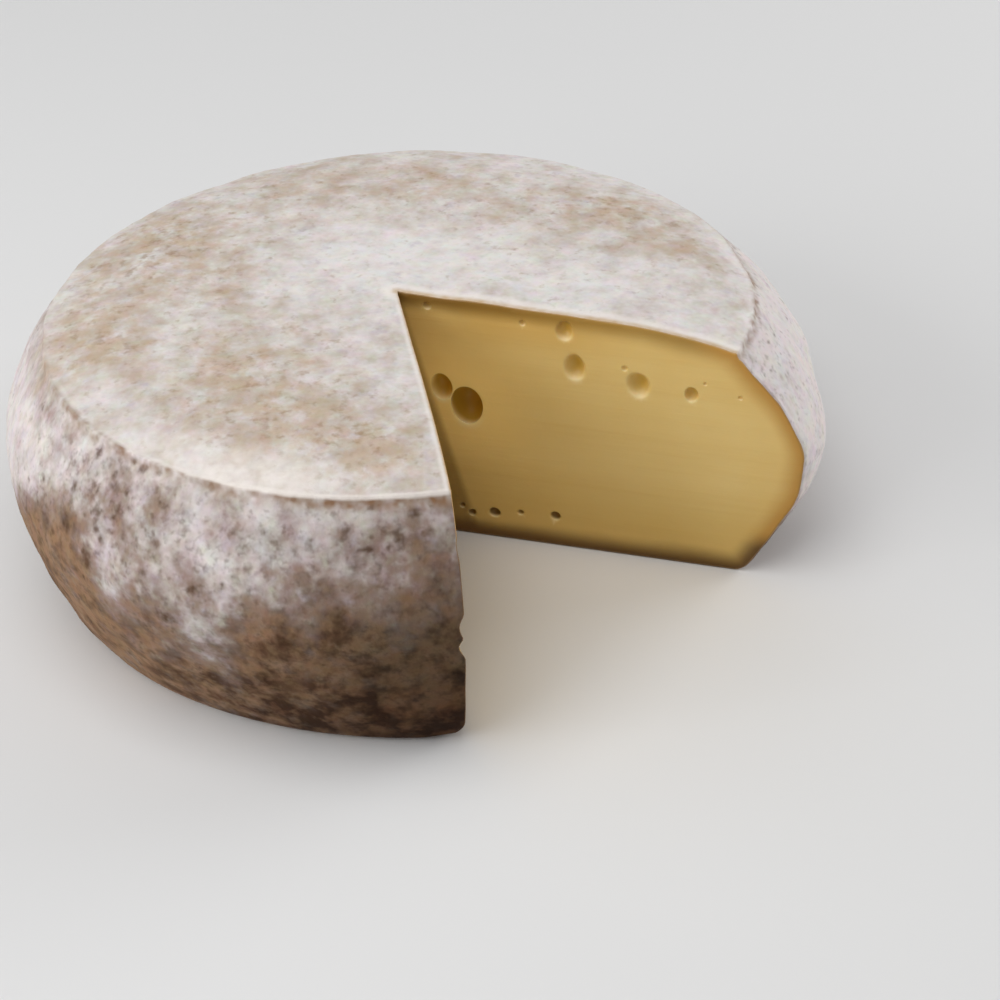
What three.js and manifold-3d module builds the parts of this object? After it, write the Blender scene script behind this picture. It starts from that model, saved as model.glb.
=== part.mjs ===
// A tomme cheese: one thick, flat wheel in a grey natural rind, with a wedge of about a sixth cut out,
// so that two cut faces show the yellow paste and its round eyes. The wheel is one piece.
// Millimetres, +Z up. The wheel stands on its flat base at z = 0 and its axis is the Z axis.
// Angles are turned about Z from +X. The cut opens to the front and the right, between -Y and +X.
import * as THREE from 'three';
import { mergeVertices } from 'three/addons/utils/BufferGeometryUtils.js';
import Module from 'manifold-3d';

// Wheel: the side swells from the rim to a belly and draws in again to the foot
const RIM_RADIUS = 90;
const RIM_HEIGHT = 66.35;
const BELLY_RADIUS = 103.25;
const BELLY_HEIGHT = 43.4;
const FOOT_RADIUS = 91.25;
const FOOT_ROUNDING = 4;
const SHOULDER_POWER = 1.53; // above the belly, 2 would be an ellipse
const FLANK_POWER = 1.82; // below the belly
const CROWN_RISE = 4.85; // of the top face, from the rim to the middle
const CROWN_POWER = 6; // high: the top is nearly flat and falls off near the rim
const RIM_BEAD = 0.2; // the rim stands up as a fine ridge, with a groove as deep below it
const RIM_BEAD_WIDTH = 1.6;

// Unevenness of a wheel pressed and turned by hand
const OVAL_COS = -0.0088; // shares of the radius, twice round
const OVAL_SIN = 0.02;
const THREE_SIDED_COS = 0.0044; // three times round
const THREE_SIDED_SIN = -0.0004;
const TOP_FALL_X = -3.1; // change of height at the rim towards +X and +Y
const TOP_FALL_Y = -3.47;
// Waves of the foot's radius, once round to four times round, as cosine and sine
const FOOT_WAVES = [[0.71, -0.04], [-0.28, -0.94], [-1.34, 0.53], [-0.27, 0.91]];
const SWELL_ANGLE = THREE.MathUtils.degToRad(-13.4); // where the side sags outwards, beside the right cut
const SWELL_HALF_WIDTH = THREE.MathUtils.degToRad(14.2);
const SWELL_GROWTH = 5.95; // of the belly there
const SWELL_DROP = 11.3; // of the belly's height there
const SIDE_STARTS = 0.97; // shares of the rim radius between which the top's lumps turn into the side's
const SIDE_FULL = 1.03;
const LUMP_WAVES = 11;
const LUMP_LONGEST = 58;
const LUMP_SHORTEST = 13;
const LUMP_HEIGHT = 0.13; // of one wave on the side
const TOP_LUMP_SHARE = 0.45;
const GOLDEN_RATIO = (1 + Math.sqrt(5)) / 2;

// The wedge cut out
const APEX = new THREE.Vector2(0.1, -1.1);
const LEFT_CUT = THREE.MathUtils.degToRad(-84.75); // the cut nearer to -Y
const RIGHT_CUT = THREE.MathUtils.degToRad(-22.3); // the cut nearer to +X
const LEFT_CUT_LEAN = THREE.MathUtils.degToRad(1.4); // the knife leant, so the gap is wider at its foot
const APEX_DRIFT = Math.tan(LEFT_CUT_LEAN) / Math.sin(RIGHT_CUT - LEFT_CUT); // of the corner, for 1 mm down
const CUTTER_REACH = 130;
const CUTTER_MARGIN = 6; // past the base and the crown
const CHIP = { height: 36, halfHeight: 6.5, depth: 1.6, halfWidth: 2.2 }; // in the left cut's outer edge

// The axis above runs through the cheese's own middle. The origin is under the middle of its box.
const CENTRING = [-2, 0, 0];

// Fineness
const ROUND_STEPS = 116;
const SIDE_STEPS = 17;
const FOOT_STEPS = 3;
const TOP_RINGS = [0.975, 0.93, 0.86, 0.74, 0.56, 0.32];
const BASE_RINGS = [0.55];
const EYE_STEPS = { least: 8, most: 20, start: 5, perMillimetre: 3 }; // round an eye
const EYE_LEVELS = 0.6; // levels of an eye for each step round it
const CHIP_STEPS = [12, 8];
const SAME_POINT = 1e-4;

/** Eyes on one cut face, measured on the face: out from the apex, up, half width, half height,
 *  and how far the middle of the bubble lies behind the face, as a share of its half width. */
const RIGHT_EYES = [
  { out: 16.4, up: 39.9, wide: 4.3, high: 5.6, sunk: 0.35 },
  { out: 9.9, up: 44.6, wide: 2.9, high: 3.9, sunk: 0.1 },
  { out: 45.9, up: 55.3, wide: 2.6, high: 3.8, sunk: -0.25 },
  { out: 43.7, up: 65.6, wide: 2.2, high: 2.6, sunk: -0.25 },
  { out: 62.4, up: 52.4, wide: 2.9, high: 3.5, sunk: -0.3 },
  { out: 76.0, up: 51.5, wide: 1.7, high: 2.1, sunk: 0.1 },
  { out: 21.9, up: 7.6, wide: 1.7, high: 1.3, sunk: 0 },
  { out: 38.6, up: 9.1, wide: 1.4, high: 1.3, sunk: 0 },
  { out: 15.7, up: 6.6, wide: 1.1, high: 1.1, sunk: 0 },
  { out: 7.7, up: 68.2, wide: 1.1, high: 1.1, sunk: 0 },
];
const LEFT_EYES = [
  { out: 32.8, up: 22.6, wide: 5.4, high: 6.3, sunk: 0.2 },
  { out: 15.4, up: 32.8, wide: 3.3, high: 3.8, sunk: -0.2 },
  { out: 33.0, up: 58.4, wide: 2.3, high: 2.1, sunk: 0 },
  { out: 32.2, up: 7.3, wide: 2.2, high: 2.1, sunk: 0 },
  { out: 58.7, up: 14.7, wide: 2.7, high: 3.0, sunk: 0.1 },
  { out: 65.3, up: 6.3, wide: 1.6, high: 1.4, sunk: 0 },
  { out: 91.6, up: 31.8, wide: 1.4, high: 1.4, sunk: 0 },
  { out: 10.2, up: 65.2, wide: 1.4, high: 1.4, sunk: 0 },
  { out: 27.6, up: 62.5, wide: 1.1, high: 1.1, sunk: 0 },
  { out: 71.2, up: 7.7, wide: 1.1, high: 1.1, sunk: 0 },
];

// The materials of the rind and the paste: one solid shows the rind's
const RIND = new THREE.MeshStandardMaterial({ color: 0xb5a89c, roughness: 0.92, metalness: 0 });

const wasm = await Module();
wasm.setup();

/** Closed mesh to solid: only the shared positions are kept. */
function toSolid(geometry) {
  const bare = geometry.clone();
  bare.deleteAttribute('normal');
  bare.deleteAttribute('uv');
  const merged = mergeVertices(bare, SAME_POINT);
  const corners = merged.index.array;
  const kept = [];
  for (let i = 0; i < corners.length; i += 3) {
    const [a, b, c] = [corners[i], corners[i + 1], corners[i + 2]];
    if (a !== b && b !== c && c !== a) kept.push(a, b, c);
  }
  return new wasm.Manifold(new wasm.Mesh({
    numProp: 3,
    vertProperties: new Float32Array(merged.attributes.position.array),
    triVerts: new Uint32Array(kept),
  }));
}

/** Solid back to a geometry that a mesh can show. */
function toGeometry(solid) {
  const { vertProperties, triVerts } = solid.getMesh();
  const geometry = new THREE.BufferGeometry();
  geometry.setAttribute('position', new THREE.BufferAttribute(vertProperties, 3));
  geometry.setIndex(new THREE.BufferAttribute(triVerts, 1));
  geometry.computeVertexNormals();
  return geometry;
}

/** Radius at a height of a side with a given belly and foot. */
function profileRadius(z, bellyRadius, bellyHeight, footRadius) {
  if (z > bellyHeight) {
    const share = Math.min((z - bellyHeight) / (RIM_HEIGHT - bellyHeight), 1);
    return RIM_RADIUS + (bellyRadius - RIM_RADIUS) * (1 - share ** SHOULDER_POWER);
  }
  const share = (bellyHeight - z) / bellyHeight;
  return footRadius + (bellyRadius - footRadius) * (1 - share ** FLANK_POWER);
}

/** Radius of the side at a height, on the even wheel. */
function sideRadius(z) {
  return profileRadius(z, BELLY_RADIUS, BELLY_HEIGHT, FOOT_RADIUS);
}

/** How far the side stands out past the even side, where it sags and where its foot is uneven. */
function outgrowth(z, angle) {
  const turned = THREE.MathUtils.euclideanModulo(angle - SWELL_ANGLE + Math.PI, 2 * Math.PI) - Math.PI;
  const swell = Math.exp(-((turned / SWELL_HALF_WIDTH) ** 2));
  let footRadius = FOOT_RADIUS;
  FOOT_WAVES.forEach(([cosine, sine], i) => {
    footRadius += cosine * Math.cos((i + 1) * angle) + sine * Math.sin((i + 1) * angle);
  });
  const bellyRadius = BELLY_RADIUS + SWELL_GROWTH * swell;
  const bellyHeight = BELLY_HEIGHT - SWELL_DROP * swell;
  return profileRadius(z, bellyRadius, bellyHeight, footRadius) - sideRadius(z);
}

/** Height of the top face at a radius, on the even wheel. */
function crownHeight(radius) {
  return RIM_HEIGHT + CROWN_RISE * (1 - (radius / RIM_RADIUS) ** CROWN_POWER);
}

/** Half outline of the even wheel, from the middle of the base round to the middle of the top. */
function wheelProfile() {
  const points = [new THREE.Vector2(0, 0)];
  const footTop = sideRadius(FOOT_ROUNDING);
  const footInner = footTop - FOOT_ROUNDING;
  for (const share of BASE_RINGS) points.push(new THREE.Vector2(footInner * share, 0));
  for (let i = 0; i < FOOT_STEPS; i += 1) {
    const turn = (Math.PI / 2) * (i / FOOT_STEPS);
    const out = FOOT_ROUNDING * Math.sin(turn);
    points.push(new THREE.Vector2(footInner + out, FOOT_ROUNDING * (1 - Math.cos(turn))));
  }
  const grooveTop = RIM_HEIGHT - RIM_BEAD_WIDTH / 2;
  for (let i = 0; i < SIDE_STEPS; i += 1) {
    const z = THREE.MathUtils.lerp(FOOT_ROUNDING, grooveTop - RIM_BEAD_WIDTH, i / (SIDE_STEPS - 1));
    points.push(new THREE.Vector2(sideRadius(z), z));
  }
  points.push(new THREE.Vector2(sideRadius(grooveTop) - RIM_BEAD, grooveTop));
  points.push(new THREE.Vector2(RIM_RADIUS, RIM_HEIGHT + RIM_BEAD / 2));
  const inner = RIM_RADIUS - RIM_BEAD_WIDTH / 2;
  points.push(new THREE.Vector2(inner, crownHeight(inner) + RIM_BEAD));
  for (const share of TOP_RINGS) {
    const radius = RIM_RADIUS * share;
    points.push(new THREE.Vector2(radius, crownHeight(radius)));
  }
  points.push(new THREE.Vector2(0, crownHeight(0)));
  return points;
}

/** Share by which the wheel is wider or narrower at an angle. */
function unevenness(angle) {
  const oval = OVAL_COS * Math.cos(2 * angle) + OVAL_SIN * Math.sin(2 * angle);
  const threeSided = THREE_SIDED_COS * Math.cos(3 * angle) + THREE_SIDED_SIN * Math.sin(3 * angle);
  return 1 + oval + threeSided;
}

/** Low lumps of the rind: waves of equal height, in directions spread evenly over a sphere. */
function lumps(point) {
  let height = 0;
  for (let i = 0; i < LUMP_WAVES; i += 1) {
    const length = LUMP_LONGEST * (LUMP_SHORTEST / LUMP_LONGEST) ** ((i + 0.5) / LUMP_WAVES);
    const rise = 1 - (2 * (i + 0.5)) / LUMP_WAVES;
    const level = Math.sqrt(1 - rise * rise);
    const turn = 2 * Math.PI * GOLDEN_RATIO * i;
    const along = point.x * level * Math.cos(turn) + point.y * level * Math.sin(turn) + point.z * rise;
    height += LUMP_HEIGHT * Math.sin((2 * Math.PI * along) / length + i);
  }
  return height;
}

/** Moves a point of the even wheel to its place on the uneven one. */
function unevenPoint(point) {
  const radius = Math.hypot(point.x, point.y);
  const angle = Math.atan2(point.y, point.x);
  const within = Math.min(radius / RIM_RADIUS, 1);
  const raised = THREE.MathUtils.clamp((point.z - BELLY_HEIGHT) / (RIM_HEIGHT - BELLY_HEIGHT), 0, 1);
  const fall = within * (TOP_FALL_X * Math.cos(angle) + TOP_FALL_Y * Math.sin(angle));
  const lump = lumps(point);
  const onSide = THREE.MathUtils.smoothstep(radius, RIM_RADIUS * SIDE_STARTS, RIM_RADIUS * SIDE_FULL);
  const offFloor = THREE.MathUtils.smoothstep(point.z, 0, 2 * FOOT_ROUNDING);
  const swollen = radius + within * outgrowth(point.z, angle);
  const wider = swollen * unevenness(angle) + lump * onSide * offFloor;
  const higher = point.z + fall * raised + lump * TOP_LUMP_SHARE * raised * (1 - onSide);
  return new THREE.Vector3(wider * Math.cos(angle), wider * Math.sin(angle), higher);
}

/** The whole wheel before the cut. */
function wholeWheel() {
  const geometry = new THREE.LatheGeometry(wheelProfile(), ROUND_STEPS);
  geometry.rotateX(Math.PI / 2);
  const places = geometry.attributes.position;
  const point = new THREE.Vector3();
  for (let i = 0; i < places.count; i += 1) {
    point.fromBufferAttribute(places, i);
    const moved = unevenPoint(point);
    places.setXYZ(i, moved.x, moved.y, moved.z);
  }
  return toSolid(geometry);
}

/** Level direction of a cut, from the apex outwards. */
function cutDirection(angle) {
  return new THREE.Vector2(Math.cos(angle), Math.sin(angle));
}

/** The wedge to take out, a prism sheared along the right cut so that only the left cut leans. */
function wedgeCutter() {
  const left = cutDirection(LEFT_CUT);
  const right = cutDirection(RIGHT_CUT);
  const shape = new THREE.Shape([
    APEX.clone(),
    APEX.clone().addScaledVector(left, CUTTER_REACH),
    APEX.clone().addScaledVector(left.clone().add(right), CUTTER_REACH),
    APEX.clone().addScaledVector(right, CUTTER_REACH),
  ]);
  const height = RIM_HEIGHT + CROWN_RISE + 2 * CUTTER_MARGIN;
  const geometry = new THREE.ExtrudeGeometry(shape, { depth: height, bevelEnabled: false });
  geometry.translate(0, 0, -CUTTER_MARGIN);
  const places = geometry.attributes.position;
  for (let i = 0; i < places.count; i += 1) {
    const below = RIM_HEIGHT - places.getZ(i);
    const x = places.getX(i) - right.x * APEX_DRIFT * below;
    const y = places.getY(i) - right.y * APEX_DRIFT * below;
    places.setXY(i, x, y);
  }
  return toSolid(geometry);
}

/** Frame of a cut face: along it outwards, up it, and square to it into the cheese.
 *  side is 1 where the cheese lies anticlockwise of the cut and -1 where it lies clockwise. */
function cutFrame(angle, lean, side) {
  const out = new THREE.Vector3(Math.cos(angle), Math.sin(angle), 0);
  const levelInto = new THREE.Vector3(-Math.sin(angle), Math.cos(angle), 0).multiplyScalar(side);
  const up = new THREE.Vector3(0, 0, Math.cos(lean)).addScaledVector(levelInto, -Math.sin(lean));
  const across = new THREE.Vector3().crossVectors(out, up);
  const into = across.clone().multiplyScalar(-side);
  return { out, up, into, turn: new THREE.Matrix4().makeBasis(out, up, across) };
}

/** Point of a cut face, out from the apex and up from the base. */
function onCut(frame, out, up) {
  const rimPoint = new THREE.Vector3(APEX.x, APEX.y, RIM_HEIGHT);
  return rimPoint.addScaledVector(frame.out, out).addScaledVector(frame.up, (up - RIM_HEIGHT) / frame.up.z);
}

/** Bubbles of one cut face, as ellipsoids to take out. */
function eyeCutters(eyes, frame) {
  return eyes.map((eye) => {
    const wanted = EYE_STEPS.start + EYE_STEPS.perMillimetre * eye.wide;
    const around = Math.round(THREE.MathUtils.clamp(wanted, EYE_STEPS.least, EYE_STEPS.most));
    const geometry = new THREE.SphereGeometry(1, around, Math.round(around * EYE_LEVELS));
    const stretch = 1 / Math.sqrt(1 - eye.sunk ** 2);
    geometry.scale(eye.wide * stretch, eye.high * stretch, eye.wide * stretch);
    geometry.applyMatrix4(frame.turn);
    const middle = onCut(frame, eye.out, eye.up).addScaledVector(frame.into, eye.sunk * eye.wide * stretch);
    geometry.translate(middle.x, middle.y, middle.z);
    return toSolid(geometry);
  });
}

/** A flake that has broken off the rind where the left cut meets the side. */
function chipCutter(frame) {
  const geometry = new THREE.SphereGeometry(1, ...CHIP_STEPS);
  geometry.scale(CHIP.halfWidth, CHIP.halfHeight, CHIP.depth);
  geometry.applyMatrix4(frame.turn);
  const edge = (sideRadius(CHIP.height) + outgrowth(CHIP.height, LEFT_CUT)) * unevenness(LEFT_CUT);
  const middle = onCut(frame, edge, CHIP.height);
  geometry.translate(middle.x, middle.y, middle.z);
  return toSolid(geometry);
}

/** The wheel with its wedge out and its eyes open. */
function cutWheel() {
  const leftFrame = cutFrame(LEFT_CUT, LEFT_CUT_LEAN, -1);
  const rightFrame = cutFrame(RIGHT_CUT, 0, 1);
  let solid = wholeWheel().subtract(wedgeCutter());
  const cutters = [
    ...eyeCutters(LEFT_EYES, leftFrame),
    ...eyeCutters(RIGHT_EYES, rightFrame),
    chipCutter(leftFrame),
  ];
  for (const cutter of cutters) solid = solid.subtract(cutter);
  return solid;
}

const wheel = new THREE.Mesh(toGeometry(cutWheel().translate(CENTRING)), RIND);
wheel.name = 'cheese_wheel';

const tomme = new THREE.Group();
tomme.add(wheel);

export default tomme;
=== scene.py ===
"""Looks of a tomme cheese: a thick wheel in a mottled grey rind, with a wedge cut out.

The wheel is one closed skin with two finishes. The rind covers the side, the top and the base, and the
paste shows on the two faces of the cut, with its eyes. Sizes are in millimetres until a mesh is made.
"""
import logging
import math
from dataclasses import dataclass, field
from enum import Enum
from functools import reduce
from operator import mul
from typing import Callable

import bpy
import numpy as np
from mathutils import Matrix, Vector
from mathutils.geometry import delaunay_2d_cdt


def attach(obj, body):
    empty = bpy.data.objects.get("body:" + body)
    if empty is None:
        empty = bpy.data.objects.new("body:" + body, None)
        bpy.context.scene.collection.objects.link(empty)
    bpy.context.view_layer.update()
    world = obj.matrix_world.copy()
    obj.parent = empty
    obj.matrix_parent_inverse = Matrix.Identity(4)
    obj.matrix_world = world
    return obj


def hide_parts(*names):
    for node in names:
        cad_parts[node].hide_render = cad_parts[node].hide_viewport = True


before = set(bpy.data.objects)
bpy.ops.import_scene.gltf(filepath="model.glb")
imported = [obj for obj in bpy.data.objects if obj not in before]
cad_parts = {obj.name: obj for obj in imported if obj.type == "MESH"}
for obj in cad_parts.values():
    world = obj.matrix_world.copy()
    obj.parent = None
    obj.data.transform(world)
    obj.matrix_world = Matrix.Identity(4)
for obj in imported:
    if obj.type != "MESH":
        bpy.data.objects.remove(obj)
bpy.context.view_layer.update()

Array = np.ndarray
Tone = tuple[float, ...]  # a linear colour, opaque
LOG = logging.getLogger("tomme")
NODE = "cheese_wheel"
MM = 0.001
GOLDEN_RATIO = (1 + math.sqrt(5)) / 2
FULL_TURN = 2 * math.pi
CENTRING = np.array([-2.0, 0.0, 0.0])  # from the cheese's own axis to the origin, in millimetres


class Finish(Enum):
    """Which of the two finishes a face shows, as its material index."""

    RIND = 0
    PASTE = 1


def smooth_step(value: Array, low: float, high: float) -> Array:
    """Eased step from 0 at low to 1 at high.

    Args:
        value: Where to read the step.
        low: Value up to which the step is 0.
        high: Value from which the step is 1.

    Returns:
        The step, between 0 and 1.
    """
    share = np.clip((value - low) / (high - low), 0.0, 1.0)
    return share * share * (3.0 - 2.0 * share)


def path_lengths(points: Array) -> Array:
    """Distance along a path to each of its points."""
    return np.concatenate([[0], np.cumsum(np.linalg.norm(np.diff(points, axis=0), axis=1))])


def linear_colour(red: int, green: int, blue: int) -> Tone:
    """Screen colour in 0 to 255 as the linear colour that a shader takes.

    Args:
        red: Red on the screen.
        green: Green on the screen.
        blue: Blue on the screen.

    Returns:
        The linear colour, opaque.
    """
    shares = [channel / 255 for channel in (red, green, blue)]
    linear = [s / 12.92 if s <= 0.04045 else ((s + 0.055) / 1.055) ** 2.4 for s in shares]
    return (*linear, 1.0)


@dataclass(frozen=True)
class Swell:
    """A place where the side sags outwards, by its angle and half width in degrees.

    Attributes:
        growth: How far the belly stands out more there.
        drop: How much lower the belly is there.
    """

    angle: float = -13.4
    half_width: float = 14.2
    growth: float = 5.95
    drop: float = 11.3

    def share(self, angle: Array) -> Array:
        """How much of the swelling there is at each angle, in radians."""
        turned = (angle - math.radians(self.angle) + math.pi) % FULL_TURN - math.pi
        return np.exp(-((turned / math.radians(self.half_width)) ** 2))


@dataclass(frozen=True)
class WheelForm:
    """Form of the wheel before it was cut, in millimetres, as functions of its driving sizes.

    Attributes:
        foot_height: Height at which the foot begins to turn in.
        shoulder_power: Fullness of the side above the belly, where 2 is an ellipse.
        flank_power: Fullness of the side below it.
        crown_power: How flat the top is before it falls off to the rim.
        bead_width: Half width of the rim's fine ridge and of the groove under it.
        groove_place: How far under the rim the groove runs.
        top_ring: Radius at which the side's mesh ends and the top's begins.
        oval: Cosine and sine of the unevenness twice round, as shares of the radius.
        three_sided: The same three times round.
        foot_waves: Cosine and sine of the foot's waves, once round to four times round.
        top_fall: Change of the top's height at the rim towards +X and +Y.
        lump_height: Height of each wave of the low lumps, on the side.
        top_lump_share: Share of that on the top.
        lump_free_foot: Height over which the lumps grow in from the flat base.
        side_starts: Share of the rim radius at which the side's lumps begin. They are full at side_full.
        outline_points: Number of points of the fine outline on its foot, side and top.
        rim_zone: How far from the rim the rows lie closer.
    """

    rim_radius: float = 90.0
    rim_height: float = 66.35
    belly_radius: float = 103.25
    belly_height: float = 43.4
    foot_radius: float = 91.25
    foot_height: float = 2.0
    shoulder_power: float = 1.53
    flank_power: float = 1.82
    crown_rise: float = 4.85
    crown_power: float = 6.0
    bead_height: float = 0.2
    bead_width: float = 0.8
    groove_depth: float = 0.2
    groove_place: float = 1.6
    top_ring: float = 86.0
    oval: tuple[float, float] = (-0.0088, 0.02)
    three_sided: tuple[float, float] = (0.0044, -0.0004)
    foot_waves: tuple[tuple[float, float], ...] = (
        (0.71, -0.04), (-0.28, -0.94), (-1.34, 0.53), (-0.27, 0.91))
    swell: Swell = Swell()
    top_fall: tuple[float, float] = (-3.1, -3.47)
    lump_waves: int = 11
    lump_longest: float = 58.0
    lump_shortest: float = 13.0
    lump_height: float = 0.13
    top_lump_share: float = 0.45
    lump_free_foot: float = 8.0
    side_starts: float = 0.97
    side_full: float = 1.03
    outline_points: tuple[int, int, int] = (40, 700, 60)
    rim_zone: float = 3.0

    def _profile(self, height: Array, belly_radius: Array, belly_height: Array, foot_radius: Array) -> Array:
        """Radius at each height of a side with a given belly and foot.

        Args:
            height: Heights on the side.
            belly_radius: Radius of the belly.
            belly_height: Height of the belly.
            foot_radius: Radius of the foot.

        Returns:
            One radius for each height.
        """
        above = np.clip((height - belly_height) / (self.rim_height - belly_height), 0, 1)
        below = np.clip((belly_height - height) / belly_height, 0, 1)
        shoulder = self.rim_radius + (belly_radius - self.rim_radius) * (1 - above**self.shoulder_power)
        flank = foot_radius + (belly_radius - foot_radius) * (1 - below**self.flank_power)
        return np.where(height > belly_height, shoulder, flank)

    def side_radius(self, height: Array) -> Array:
        """Radius of the even side at each height."""
        return self._profile(height, self.belly_radius, self.belly_height, self.foot_radius)

    def outgrowth(self, height: Array, angle: Array) -> Array:
        """How far the side stands out past the even side, where it sags and where its foot is uneven.

        Args:
            height: Heights on the even side.
            angle: Angles about the axis.

        Returns:
            The distances, negative where the side draws in.
        """
        share = self.swell.share(angle)
        foot_radius = self.foot_radius + sum(
            cosine * np.cos(times * angle) + sine * np.sin(times * angle)
            for times, (cosine, sine) in enumerate(self.foot_waves, start=1))
        local = self._profile(height, self.belly_radius + self.swell.growth * share,
                              self.belly_height - self.swell.drop * share, foot_radius)
        return local - self.side_radius(height)

    def crown(self, radius: Array) -> Array:
        """Height of the even top face at each radius."""
        return self.rim_height + self.crown_rise * (1 - (radius / self.rim_radius) ** self.crown_power)

    def unevenness(self, angle: Array) -> Array:
        """Share by which the wheel is wider or narrower at each angle.

        Args:
            angle: Angles about the axis.

        Returns:
            Factors for the radius, near 1.
        """
        oval = self.oval[0] * np.cos(2 * angle) + self.oval[1] * np.sin(2 * angle)
        three = self.three_sided[0] * np.cos(3 * angle) + self.three_sided[1] * np.sin(3 * angle)
        return 1 + oval + three

    def lumps(self, x: Array, y: Array, z: Array) -> Array:
        """Low lumps of the rind: waves of equal height, in directions spread evenly over a sphere.

        Args:
            x: Places on the even wheel along X.
            y: The same along Y.
            z: The same along Z.

        Returns:
            Height of the lumps at each place.
        """
        height = np.zeros(np.broadcast(x, y, z).shape)
        for i in range(self.lump_waves):
            share = (i + 0.5) / self.lump_waves
            length = self.lump_longest * (self.lump_shortest / self.lump_longest) ** share
            rise = 1 - 2 * share
            level = math.sqrt(1 - rise * rise)
            turn = FULL_TURN * GOLDEN_RATIO * i
            along = x * level * math.cos(turn) + y * level * math.sin(turn) + z * rise
            height = height + self.lump_height * np.sin(FULL_TURN * along / length + i)
        return height

    def place(self, radius: Array, angle: Array, height: Array) -> Array:
        """Moves points of the even wheel to their places on the uneven one.

        Args:
            radius: Distance from the axis on the even wheel.
            angle: Angle about the axis.
            height: Height on the even wheel.

        Returns:
            Points with x, y and z along the last axis.
        """
        cosine, sine = np.cos(angle), np.sin(angle)
        within = np.minimum(radius / self.rim_radius, 1)
        raised = np.clip((height - self.belly_height) / (self.rim_height - self.belly_height), 0, 1)
        fall = within * (self.top_fall[0] * cosine + self.top_fall[1] * sine)
        lump = self.lumps(radius * cosine, radius * sine, height)
        on_side = self.on_side(radius)
        off_floor = smooth_step(height, 0, self.lump_free_foot)
        swollen = radius + within * self.outgrowth(height, angle)
        wider = swollen * self.unevenness(angle) + lump * on_side * off_floor
        higher = height + fall * raised + lump * self.top_lump_share * raised * (1 - on_side)
        return np.stack([wider * cosine, wider * sine, higher], axis=-1)

    def on_side(self, radius: Array) -> Array:
        """1 on the side and 0 on the top face, by the radius on the even wheel."""
        return smooth_step(radius, self.rim_radius * self.side_starts, self.rim_radius * self.side_full)

    def top_height(self, x: Array, y: Array) -> Array:
        """Height of the uneven top face over points of the floor, inside the top ring.

        Args:
            x: Places along X.
            y: Places along Y.

        Returns:
            One height for each place.
        """
        angle = np.arctan2(y, x)
        radius = np.hypot(x, y) / self.unevenness(angle)
        return self.place(radius, angle, self.crown(radius))[..., 2]

    def outline(self) -> tuple[Array, Array]:
        """Even half outline of foot, side and rim, from the flat of the base to the top ring.

        Returns:
            Points (radius, height), finely spaced, and for each its distance from the rim along the
            outline, which is positive down the side and negative over the top face.
        """
        foot_points, side_points, top_points = self.outline_points
        step = 0.01
        below, above = self.side_radius(self.foot_height + np.array([-step, step]))
        slope = float(above - below) / (2 * step)
        turn_end = math.atan2(1.0, slope)
        rounding = self.foot_height / (1 - math.cos(turn_end))
        foot_out = float(self.side_radius(np.array(self.foot_height)))
        turn = np.linspace(0, turn_end, foot_points, endpoint=False)
        foot = np.stack([foot_out - rounding * math.sin(turn_end) + rounding * np.sin(turn),
                         rounding * (1 - np.cos(turn))], axis=-1)
        height = np.linspace(self.foot_height, self.rim_height, side_points, endpoint=False)
        side = np.stack([self.side_radius(height), height], axis=-1)
        radius = np.linspace(self.rim_radius, self.top_ring, top_points)
        top = np.stack([radius, self.crown(radius)], axis=-1)
        points = np.concatenate([foot, side, top])
        lengths = path_lengths(points)
        from_rim = lengths[len(foot) + len(side)] - lengths
        tangent = np.gradient(points, axis=0)
        outward = np.stack([tangent[:, 1], -tangent[:, 0]], axis=-1)
        outward /= np.linalg.norm(outward, axis=1, keepdims=True)
        bead = self.bead_height * np.exp(-((from_rim / self.bead_width) ** 2))
        groove = self.groove_depth * np.exp(-(((from_rim - self.groove_place) / self.bead_width) ** 2))
        return points + outward * (bead - groove)[:, None], from_rim

    def rows(self, spacing: float, rim_spacing: float) -> tuple[Array, Array]:
        """Outline points at the rows of the side's mesh, closer together near the rim.

        Args:
            spacing: Distance between rows on the side.
            rim_spacing: Distance between rows at the rim.

        Returns:
            Row points (radius, height) and their distances from the rim.
        """
        points, from_rim = self.outline()
        lengths = path_lengths(points)
        near = np.exp(-((from_rim / self.rim_zone) ** 2))
        density = 1 / (spacing + (rim_spacing - spacing) * near)
        count = np.concatenate([[0], np.cumsum(np.diff(lengths) * (density[1:] + density[:-1]) / 2)])
        total = int(round(count[-1]))
        at = np.linspace(0, count[-1], total + 1)
        rows = np.stack([np.interp(at, count, points[:, 0]), np.interp(at, count, points[:, 1])], axis=-1)
        return rows, np.interp(at, count, from_rim)


@dataclass(frozen=True)
class Eye:
    """One eye in the paste: a bubble that the knife opened.

    Attributes:
        out: Distance of its middle from the wheel's centre edge, along the cut face.
        up: Height of its middle.
        wide: Half width of the opening.
        high: Half height of the opening.
        sunk: How far the bubble's middle lies behind the face, as a share of its radius.
    """

    out: float
    up: float
    wide: float
    high: float
    sunk: float = 0.0


@dataclass(frozen=True)
class Chip:
    """A flake broken off the edge where a cut meets the side.

    Attributes:
        depth: How far the edge is drawn back from the cut face.
        width: How far it reaches round the side.
        reach: How far it reaches in along the cut face.
        slant: How much lower it lies for each millimetre further in.
        sunk: How far the edge is drawn in from the side, as a share of the depth.
        bluntness: How broad its bottom is. Below 1 it comes to a point.
    """

    height: float
    half_height: float
    depth: float
    width: float = 3.8
    reach: float = 14.0
    slant: float = 0.58
    sunk: float = 0.4
    bluntness: float = 2.0

    def hollow(self, height: Array) -> Array:
        """How far the edge is drawn back at each height."""
        off_middle = np.clip(np.abs(height - self.height) / self.half_height, 0, 1)
        return self.depth * (1 - off_middle**self.bluntness) ** 2


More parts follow.
